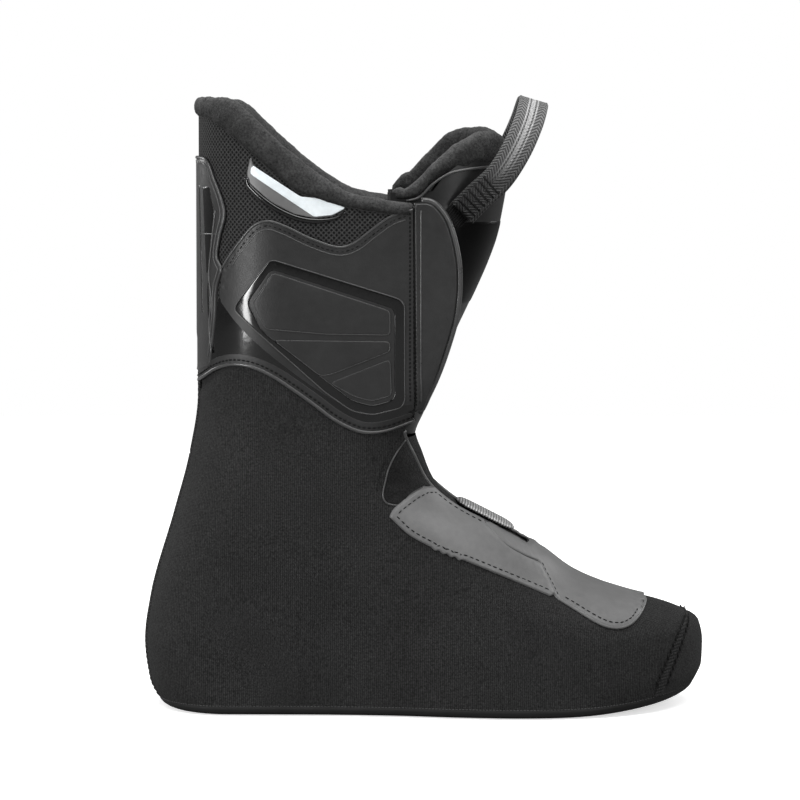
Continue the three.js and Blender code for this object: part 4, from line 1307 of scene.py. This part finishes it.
def make_frames():
    rim, hole = laid(rounded(FRAME_RIM)), laid(rounded(FRAME_HOLE))
    look = dict(top=-1.15, foot=-0.7, edge=0.8, step=1.8, holes=[hole[:-1]])
    flat = dict(top=-0.85, foot=-0.7, edge=0.5, step=2.4)
    for name, side in SIDES:
        piece = panel(f"plate_frame_{name}", [(rim, True)], side, GLOSS, **look)
        place_piece(piece, "foot", "gloss", f"cuff_frame_{name}")
        field = panel(f"plate_field_{name}", [(hole, True)], side, PLATE, **flat)
        place_piece(field, "foot", "plate")
        parts, cords = [], []
        for corners in WINDOWS.values():
            outline = laid(rounded(corners, 2.0))
            parts.append(sheet([(outline, True)], side, top=-1.3, foot=-0.8, edge=0.7, step=2.2))
            cords.append(piping(outline, side, -1.05, 0.22))
        cords.append(piping(rim, side, -0.95, 0.3))
        sewn(f"plate_insets_{name}", parts, PLATE, "foot", "plate")
        sewn(f"plate_lines_{name}", cords, PIPE, "foot", "plate")


LABEL_RIM = [
    (-86.8, 281), (-85.6, 276), (-62.2, 260.7), (-53.2, 260), (-39.6, 255.4), (-46.6, 251.3), (-55.6, 250.3),
    (-65.7, 252.3), (-76.7, 258.1), (-88, 267.6), (-88.8, 272.4),
]
LABEL_FACE = [
    (-86.2, 276.6), (-62.2, 260.9), (-53.2, 260.2), (-39.9, 255.4), (-46.6, 251.8), (-55.6, 250.9),
    (-70, 260.6),
    (-87, 272),
]
LABEL_FOOT = spline(
    [(-88.6, 270), (-87.6, 266.2), (-76.9, 256.8), (-65.7, 251), (-55.6, 249), (-46, 250), (-40, 253.2)]
)


def make_labels():
    """Plain two-tone film label at the collar, on a rounded gloss cord."""
    rim = laid(rounded(LABEL_RIM, 1.6))
    face = laid(rounded(LABEL_FACE, 1.2))
    lower = laid(LABEL_FOOT)
    strip = dict(top=-0.5, foot=0.0, edge=0.7, step=1.8)
    film = dict(top=-0.75, foot=-0.4, edge=0.4, step=1.6)
    taper = np.clip((len(lower) - np.arange(len(lower))) / 14, 0.25, 1)
    for name, side in SIDES:
        back_film = panel(f"label_film_{name}", [(rim, True)], side, STRIP, **strip)
        place_piece(back_film, "foot", "label", f"collar_label_{name}")
        face_film = panel(f"label_face_{name}", [(face, True)], side, FILM, **film)
        place_piece(face_film, "foot", "label")
        cord = piping(lower, side, -0.4, 1.35 * taper, 0.8)
        sewn(f"label_piping_{name}", [cord], GLOSS, "foot", "gloss")


# ---- collar roll ----

ROLL_SECTION = [
    (0.0, 0.06), (0.5, -0.02), (1.0, 0.05), (1.14, 0.32), (1.0, 0.66), (0.66, 0.92), (0.3, 1.0),
    (-0.02, 0.84), (-0.16, 0.5), (-0.14, 0.22),
]


def closed_spline(points, count):
    points = np.asarray(points, float)
    size = len(points)
    t = np.arange(count) / count * size
    i = t.astype(int)
    f = (t - i)[:, None]
    a, b, c, d = (points[(i + k) % size] for k in (-1, 0, 1, 2))
    return 0.5 * (2 * b + (c - a) * f + (2 * a - 5 * b + 4 * c - d) * f**2 + (3 * b - a - 3 * c + d) * f**3)


def s_at_share(z, share):
    """s of a ring share, counted in twelfths: four round the back, three along, five in front."""
    back_x, back, front_x, front = centres(z)
    step = share * 12
    rear = back_x - (1 - step / 4) * HALF_PI * back
    middle = lerp(back_x, front_x, (step - 4) / 3)
    fore = front_x + (step - 7) / 5 * HALF_PI * front
    return np.where(step <= 4, rear, np.where(step <= 7, middle, fore))


def lumps(points, size, seed):
    """Smooth seeded noise from a few crossed waves, about -1 to 1."""
    random = np.random.default_rng(seed)
    total = np.zeros(points.shape[:-1])
    for _ in range(9):
        way = unit(random.normal(size=3))
        pitch = size * random.uniform(0.7, 1.5)
        total += np.sin(points @ way * (2 * math.pi / pitch) + random.uniform(0, 6.3))
    return total / 4


def puff(points, normals_from, amount, size, seed):
    """Moves points out from a centre line by seeded lumps."""
    away = unit(points - normals_from)
    return points + away * (amount * lumps(points, size, seed))[..., None]


def make_roll():
    """Padded collar, a lobed section carried round the cuff and drawn in at both ends."""
    stop = 0.5
    for _ in range(30):
        x = float(last(s_at_share(252.0, stop), 252.0, 0.0, OUTER)[0])
        stop += (STITCH_X - 0.3 - x) / 1200
    shares = np.linspace(0, stop, 150)
    u = np.concatenate([-shares[::-1], shares[1:]])[:, None]
    side = np.where(u < 0, OUTER, INNER)
    share = np.abs(u)
    across, high = closed_spline(ROLL_SECTION, 44).T
    outer_x = last(s_at_share(ROLL_LEVEL, share), ROLL_LEVEL, ROLL_OUT, side)[..., 0]
    inner_x = last(s_at_share(ROLL_LEVEL, share), ROLL_LEVEL, ROLL_IN, side)[..., 0]
    low_out, low_in = height_on(ROLL_EDGE, outer_x), height_on(ROLL_EDGE, inner_x)
    height = np.maximum(height_on(ROLL_CREST, outer_x) - low_out, 4)
    z = lerp(low_out, low_in, across) + height * high
    shrink = dome((stop - share) / 0.012)
    inset = lerp(ROLL_OUT, ROLL_IN, 0.5 + (across - 0.5) * lerp(0.5, 1, shrink))
    points = last(s_at_share(z, share), z, inset, side)
    points[..., 2] = z
    middle = points.mean(1, keepdims=True)
    points = middle + (points - middle) * lerp(0.72, 1, shrink)[..., None]
    points = puff(points, middle, 0.35, 9, 3)
    points = puff(points, middle, 0.16, 2.4, 5)
    piece = mesh_piece("fleece_roll", *capped_tube(points), FLEECE)
    place_piece(piece, "foot", "fleece", "collar_roll", padded=0.85)


# ---- flaps ----


def make_flaps():
    front = laid(FLAP_EDGE)
    runs = [(front, True), (straight([front[-1], front[0]]), True)]
    film = dict(top=-0.7, foot=0.1, edge=0.9, step=2.0, back=1.2, relief=panel_relief)
    padding = dict(top=1.1, foot=1.8, edge=1.2, step=2.4, back=4.2)
    column = straight([(-5.3, 156), (-5.3, 256)])
    fixed = straight([(-8.4, 158.5), (-8.4, 253.5)])
    fold = straight([(-2.9, 158), (-2.9, 254)])
    for name, side in SIDES:
        body = f"flap_{name}"
        outer = panel(f"flap_film_{name}", runs, side, FLAP_FILM, **film)
        place_piece(outer, body, "plate", f"flap_panel_{name}")
        pad = panel(f"flap_pad_{name}", runs, side, LINING, **padding)
        place_piece(pad, body, "fleece", f"flap_padding_{name}", padded=0.5)
        cord = piping(offset(front, -1.2)[3:-3], side, 1.0, 1.5)
        sewn(f"flap_piping_{name}", [cord], PIPE, body, "gloss", f"flap_piping_{name}")
        rows = stitched(column, side, -0.7, length=1.4, pitch=2.1, radius=0.36)
        sewn(f"flap_stitching_{name}", rows, THREAD, body, "plate")
        sewn(f"flap_ridge_{name}", [piping(fold, side, -0.6, 0.5)], PIPE, body, "plate")
        web = tube_arrays(last(np.full(60, -6.3), np.linspace(154, 256, 60), 0.9, side), 0.9)
        sewn(f"hinge_web_{name}", [web], SHADE, body, "textile")
        rows = stitched(fixed, side, -0.8, length=1.4, pitch=2.1, radius=0.4)
        sewn(f"hinge_stitching_{name}", rows, THREAD, "foot", "plate")


# ---- tongue ----


def tongue_half(z):
    return throat_half(np.minimum(z, 205)) - 1 - 2 * smooth(z, 235, 262)


def arch(u, z, inset):
    """Points round the tongue; u runs -1 to 1 over the crown, with flanks past CROWN_SHARE."""
    u, z, inset = np.broadcast_arrays(*[np.asarray(v, float) for v in (u, z, inset)])
    radius = crown_round(z)
    turn = np.minimum(np.abs(u) / CROWN_SHARE, 1) * HALF_PI
    back = np.maximum(np.abs(u) - CROWN_SHARE, 0) / (1 - CROWN_SHARE) * FLANK_REACH
    x = crown_line(z) - radius + (radius - inset) * np.cos(turn) - back
    y = np.sign(u) * (tongue_half(z) - inset) * np.sin(turn)
    return np.stack([x, y, z], -1)


FLEECE_EDGE = spline([(-18, 258), (-4, 259.6), (2.6, 266.5), (10.7, 272), (19.4, 274), (31, 275), (60, 275)])
TONGUE_CREST = spline([(-9, 272), (4, 285.5), (14, 292.5), (25, 295), (36, 293.5), (43, 288.5), (60, 280)])
NEAR_CREST = spline(
    [(-12, 263), (-6, 268), (0, 274.5), (10, 283), (20, 289), (30, 292), (43, 288.5), (60, 280)]
)
TONGUE_REAR = spline([(-28, 138), (-32, 160), (-31, 200), (-26, 235), (-18, 258)])


def flank_limit(z):
    """How far round the flank the tongue reaches at a height."""
    rear = np.interp(z, TONGUE_REAR[:, 1], TONGUE_REAR[:, 0])
    side_x = crown_line(z) - crown_round(z)
    return np.clip(CROWN_SHARE + (side_x - rear) / FLANK_REACH * (1 - CROWN_SHARE), CROWN_SHARE, 1.0)


def tongue_grid(inset):
    """Grid over the tongue from its foot to just under its fleece top."""
    t = np.linspace(0, 1, 70)[:, None]
    v = np.linspace(-1, 1, 61)
    top = height_on(FLEECE_EDGE + [0, 4.5], arch(v, CAP_LEVEL, 0.0)[..., 0])
    z = lerp(TONGUE_FOOT, top, t)
    u = v * flank_limit(z)
    drawn_in = 2.6 * (1 - smooth(z, TONGUE_FOOT, 152)) * (inset < 1)
    return arch(u, z, inset + drawn_in), np.stack([u * 60, z], -1)


def make_tongue():
    outer, uv = tongue_grid(0.0)
    sewn("tongue_skin", [grid_arrays(outer, uv)], SHADE, "tongue", "plate", "tongue_shell")
    inner, uv = tongue_grid(8.4)
    parts = [grid_arrays(inner, uv, flip=True)]
    share = np.linspace(0, 1, 7)[:, None]
    for column, flip in ((0, False), (-1, True)):
        edge = lerp(outer[:, column][:, None], inner[:, column][:, None], share)
        edge[..., 0] -= 1.6 * np.sin(share[:, 0] * math.pi)
        parts.append(grid_arrays(edge, flip=flip))
    parts.append(grid_arrays(lerp(inner[0], outer[0], share[..., None])))
    sewn("tongue_pad", parts, LINING, "tongue", "fleece", "tongue_foam", "tongue_lining", padded=0.6)
    make_tongue_cap()
    make_tongue_insert()


def make_tongue_cap():
    """Fleece top of the tongue, a thick padded roll from flank to flank."""
    limit = float(flank_limit(np.array(LIP_LEVEL)))
    v = np.linspace(-1, 1, 150)[:, None]
    u = v * limit
    x = arch(u, CAP_LEVEL, 0.0)[..., 0]
    low = height_on(FLEECE_EDGE, x)
    far = np.where(x < -9, low + 8 + 6 * smooth(x, -18, -9), height_on(TONGUE_CREST, x))
    near = np.where(x < -12, low + 7, height_on(NEAR_CREST, x))
    crest = np.maximum(lerp(far, near, smooth(-u, 0.15, 0.5)), low + 6) - 2.5 * bell(u, 0, 0.22)
    turn = np.arange(44) / 44 * 2 * math.pi
    c, sn = np.cos(turn), np.sin(turn)
    z = (low + crest) / 2 + (crest - low) / 2 * np.sign(sn) * np.abs(sn) ** 0.85
    shrink = dome((1 - np.abs(v)) / 0.03)
    inset = 3.9 - 4.7 * lerp(0.35, 1, shrink) * np.sign(c) * np.abs(c) ** 0.75
    points = arch(u, z, inset)
    middle = points.mean(1, keepdims=True)
    points = middle + (points - middle) * lerp(0.6, 1, shrink)[..., None]
    points = puff(points, middle, 0.4, 11, 7)
    points = puff(points, middle, 0.16, 2.4, 9)
    piece = mesh_piece("tongue_cap", *capped_tube(points, flip=False), FLEECE)
    place_piece(piece, "tongue", "fleece", "tongue_fleece", padded=0.85)
    lip_u = np.linspace(-0.95, 0.95, 160) * limit
    lip = arch(lip_u, height_on(FLEECE_EDGE, arch(lip_u, CAP_LEVEL, 0.0)[..., 0]), -0.2)
    sewn("tongue_lip", [tube_arrays(lip, 0.7)], PIPE, "tongue", "plate")


def make_tongue_insert():
    """Glossy window in the front of the tongue, with a raised rim."""
    z = np.linspace(206, 248, 40)[:, None]
    v = np.linspace(-1, 1, 61)
    reach = np.interp(z, [206, 212, 240, 248], [0.55, 0.74, 0.76, 0.68])
    u = v * reach
    edge = np.minimum((1 - np.abs(v)) / 0.1, np.minimum((z - 206) / 2.5, (248 - z) / 2.5))
    points = arch(u, z, 0.15 - 0.5 * dome(edge))
    arrays = grid_arrays(points, np.stack([u * 60, z + 0 * v], -1))
    sewn("tongue_gloss", [arrays], DARK_GLOSS, "tongue", "gloss", "tongue_insert")
    loop_z = np.concatenate([z[:, 0], z[::-1, 0], z[0]])
    loop_u = np.concatenate([reach[:, 0], -reach[::-1, 0], reach[0]])
    path = resample(arch(loop_u, loop_z, -0.25), 1.5)
    sewn("tongue_gloss_rim", [tube_arrays(path, 0.8)], PIPE, "tongue", "gloss")


# ---- pull loop ----

LOOP_LINE = [(17.5, 252.5), (25.4, 260.5), (35.6, 270), (44.2, 283), (50.6, 297), (54, 308)]
LOOP_INSET = 1.5
LOOP_STAND = 2.7
WEB_WIDTH = 15
WEB_THICK = 1.6
TAB_RIM = [(5.5, 246.5), (15.5, 244.5), (25.5, 253), (17.5, 262), (12, 258)]


def loop_path(steps):
    """Middle line of the strap, with its directions across and out at each point."""
    side_line = spline(LOOP_LINE, 0.5)
    run = np.linspace(0, 1, len(side_line))
    reach = float(tongue_half(260.0)) + LOOP_STAND
    u = np.linspace(-1, 1, steps)
    painted_light_by_height = 1 - np.abs(u) ** 2.4
    inward = LOOP_INSET * (1 - smooth(painted_light_by_height, 0, 0.3))
    spread = np.sign(u) * (reach * np.minimum(1, 1.06 * np.abs(u) ** 0.5) - inward)
    x, z = (np.interp(painted_light_by_height, run, column) for column in side_line.T)
    centre = np.stack([x, spread, z], -1)
    tangent = unit(np.gradient(side_line, axis=0))
    at = np.clip(painted_light_by_height, 0.02, 0.98)
    tx, tz = np.interp(at, run, tangent[:, 0]), np.interp(at, run, tangent[:, 1])
    across = unit(np.stack([tz, 0 * tx, -tx], -1))
    return centre, across, unit(np.cross(unit(np.gradient(centre, axis=0)), across))


def make_loop():
    centre, across, normal = loop_path(181)
    a = np.linspace(-1, 1, 21)
    thick = WEB_THICK / 2 * (1 + 0.25 * bell(np.abs(a), 0.93, 0.06)) * dome((1 - np.abs(a)) / 0.05)
    front = np.stack([a * WEB_WIDTH / 2, thick], -1)
    section = np.vstack([front, front[::-1][1:-1] * [1, -1]])
    points = centre[:, None] + section[:, :1] * across[:, None] + section[:, 1:] * normal[:, None]
    uv = np.stack(np.broadcast_arrays(section[:, 0], run_length(centre)[:, None]), -1)
    strap = mesh_piece("pull_strap", *capped_tube(points, uv), WEBBING)
    place_piece(strap, "pull_loop", "webbing", "pull_loop")
    tacks = []
    for end, way in ((0, 1), (len(centre) - 1, -1)):
        for i in range(end + 2 * way, end + 14 * way, 2 * way):
            out = normal[i] * (WEB_THICK / 2 + 0.15)
            for face in (-1, 1):
                line = centre[i] + np.linspace(-1, 1, 7)[:, None] * across[i] * 5.6 + face * out
                tacks.append(tube_arrays(line, 0.42, 6, 1.0, np.tile(normal[i], (7, 1))))
    sewn("loop_tacks", tacks, THREAD, "pull_loop", "webbing")
    make_tabs()


def on_tongue(x, z, inset, side):
    """Points of the tongue's surface from side-view places."""
    radius = crown_round(z)
    centre = crown_line(z) - radius
    turn = np.arccos(np.clip((x - centre) / radius, 0, 0.999))
    flank = CROWN_SHARE + (centre - x) / FLANK_REACH * (1 - CROWN_SHARE)
    return arch(side * np.where(x > centre, turn / HALF_PI * CROWN_SHARE, flank), z, inset)


def make_tabs():
    """Short webbing tabs that hold the loop's ends on the tongue."""
    runs = [(rounded(TAB_RIM, 2.0), True)]
    look = dict(top=-1.7, foot=-0.1, edge=0.7, step=1.6, shape=on_tongue)
    for name, side in SIDES:
        piece = panel(f"tab_{name}", runs, side, BLACK_WEB, **look)
        place_piece(piece, "tongue", "webbing", f"loop_tab_{name}")


def make_footbed():
    """Removable cushioned insole, turned up a little at its edges."""
    profile = [(6.6, 10.2), (6.7, 9.5), (8.6, 9.3), (10.2, 9.4), (10.7, 10.2), (10.5, 12), (10.1, 16),
               (9.9, 24)]
    place_piece(slab("insole", profile, LINING, 80), "footbed", "foam", "footbed", padded=0.5)


for make in (
    make_sole, make_quarters, make_toe, make_heel_tape, make_window, make_throat_binding, make_overlays,
    make_tongue_base, make_silver_roll, make_cuff_mesh, make_lining, make_cuff_front_edge, make_spine,
    make_cuff_panels, make_cuff_bands, make_frames, make_labels, make_roll, make_flaps, make_tongue,
    make_loop, make_footbed,
):
    make()


# ---- floor, light and camera ----


def aim_at(thing, target):
    thing.rotation_mode = "QUATERNION"
    thing.rotation_quaternion = (Vector(target) - thing.location).to_track_quat("-Z", "Y")


def area_light(name, place_at, target, size, power):
    data = bpy.data.lights.new(name, "AREA")
    data.shape = "RECTANGLE"
    data.size, data.size_y = size
    data.energy = power
    light = linked(name, data)
    light.location = place_at
    aim_at(light, target)


def make_stage():
    mesh = bpy.data.meshes.new("floor")
    corners = [(-1.6, -1.6), (1.6, -1.6), (1.6, 1.6), (-1.6, 1.6)]
    mesh.from_pydata([(x, y, -0.0004) for x, y in corners], [], [(0, 1, 2, 3)])
    material, tree, shader = nodes_of("pale_floor")
    path = add_node(tree, "ShaderNodeLightPath").outputs["Is Camera Ray"]
    pale = ramp(tree, noise(tree, 0.4), [(0.3, 0.86), (0.7, 0.9)])
    finish_shader(tree, shader, mixed(tree, path, 0.3, pale), 0.9, 0.0)
    shader.inputs["Emission Color"].default_value = (1, 1, 1, 1)
    feed(tree, shader.inputs["Emission Strength"], product(tree, path, 0.62))
    mesh.materials.append(material)
    linked("floor", mesh)


def make_world():
    world = bpy.data.worlds.new("studio")
    bpy.context.scene.world = world
    world.use_nodes = True
    tree = world.node_tree
    tree.nodes.clear()
    path = add_node(tree, "ShaderNodeLightPath")
    mix = add_node(tree, "ShaderNodeMixShader")
    tree.links.new(path.outputs["Is Camera Ray"], mix.inputs[0])
    for socket, strength in zip(mix.inputs[1:], (0.16, 1.0)):
        sky = add_node(tree, "ShaderNodeBackground", Color=1, Strength=strength)
        tree.links.new(sky.outputs[0], socket)
    tree.links.new(mix.outputs[0], add_node(tree, "ShaderNodeOutputWorld").inputs[0])


def make_camera():
    data = bpy.data.cameras.new("camera")
    data.lens = 150
    data.sensor_width = 36
    camera = linked("camera", data)
    target = Vector((-0.0133, 0.0, 0.156))
    elevation = math.radians(5)
    camera.location = target + Vector((0, -math.cos(elevation), math.sin(elevation))) * 1.70
    aim_at(camera, target)
    bpy.context.scene.camera = camera


make_stage()
make_world()
area_light("overhead", (0.1, -0.5, 1.5), (0, 0, 0.1), (1.6, 1.0), 24)
area_light("front_left", (-1.1, -0.74, 0.36), (-0.08, 0, 0.2), (0.16, 0.9), 6)
area_light("low_left", (-0.66, -0.46, 0.12), (-0.087, -0.04, 0.18), (0.14, 0.26), 1.8)
area_light("front_right", (1.1, -1.3, 0.7), (0.0, 0, 0.12), (0.5, 1.0), 9)
area_light("behind_left", (-1.1, 1.0, 0.8), (0, 0, 0.15), (0.4, 1.0), 7)
area_light("behind_right", (1.2, 0.9, 0.8), (0, 0, 0.15), (0.4, 1.0), 7)
make_camera()
bpy.context.scene.view_settings.view_transform = "Standard"

bpy.context.view_layer.update()
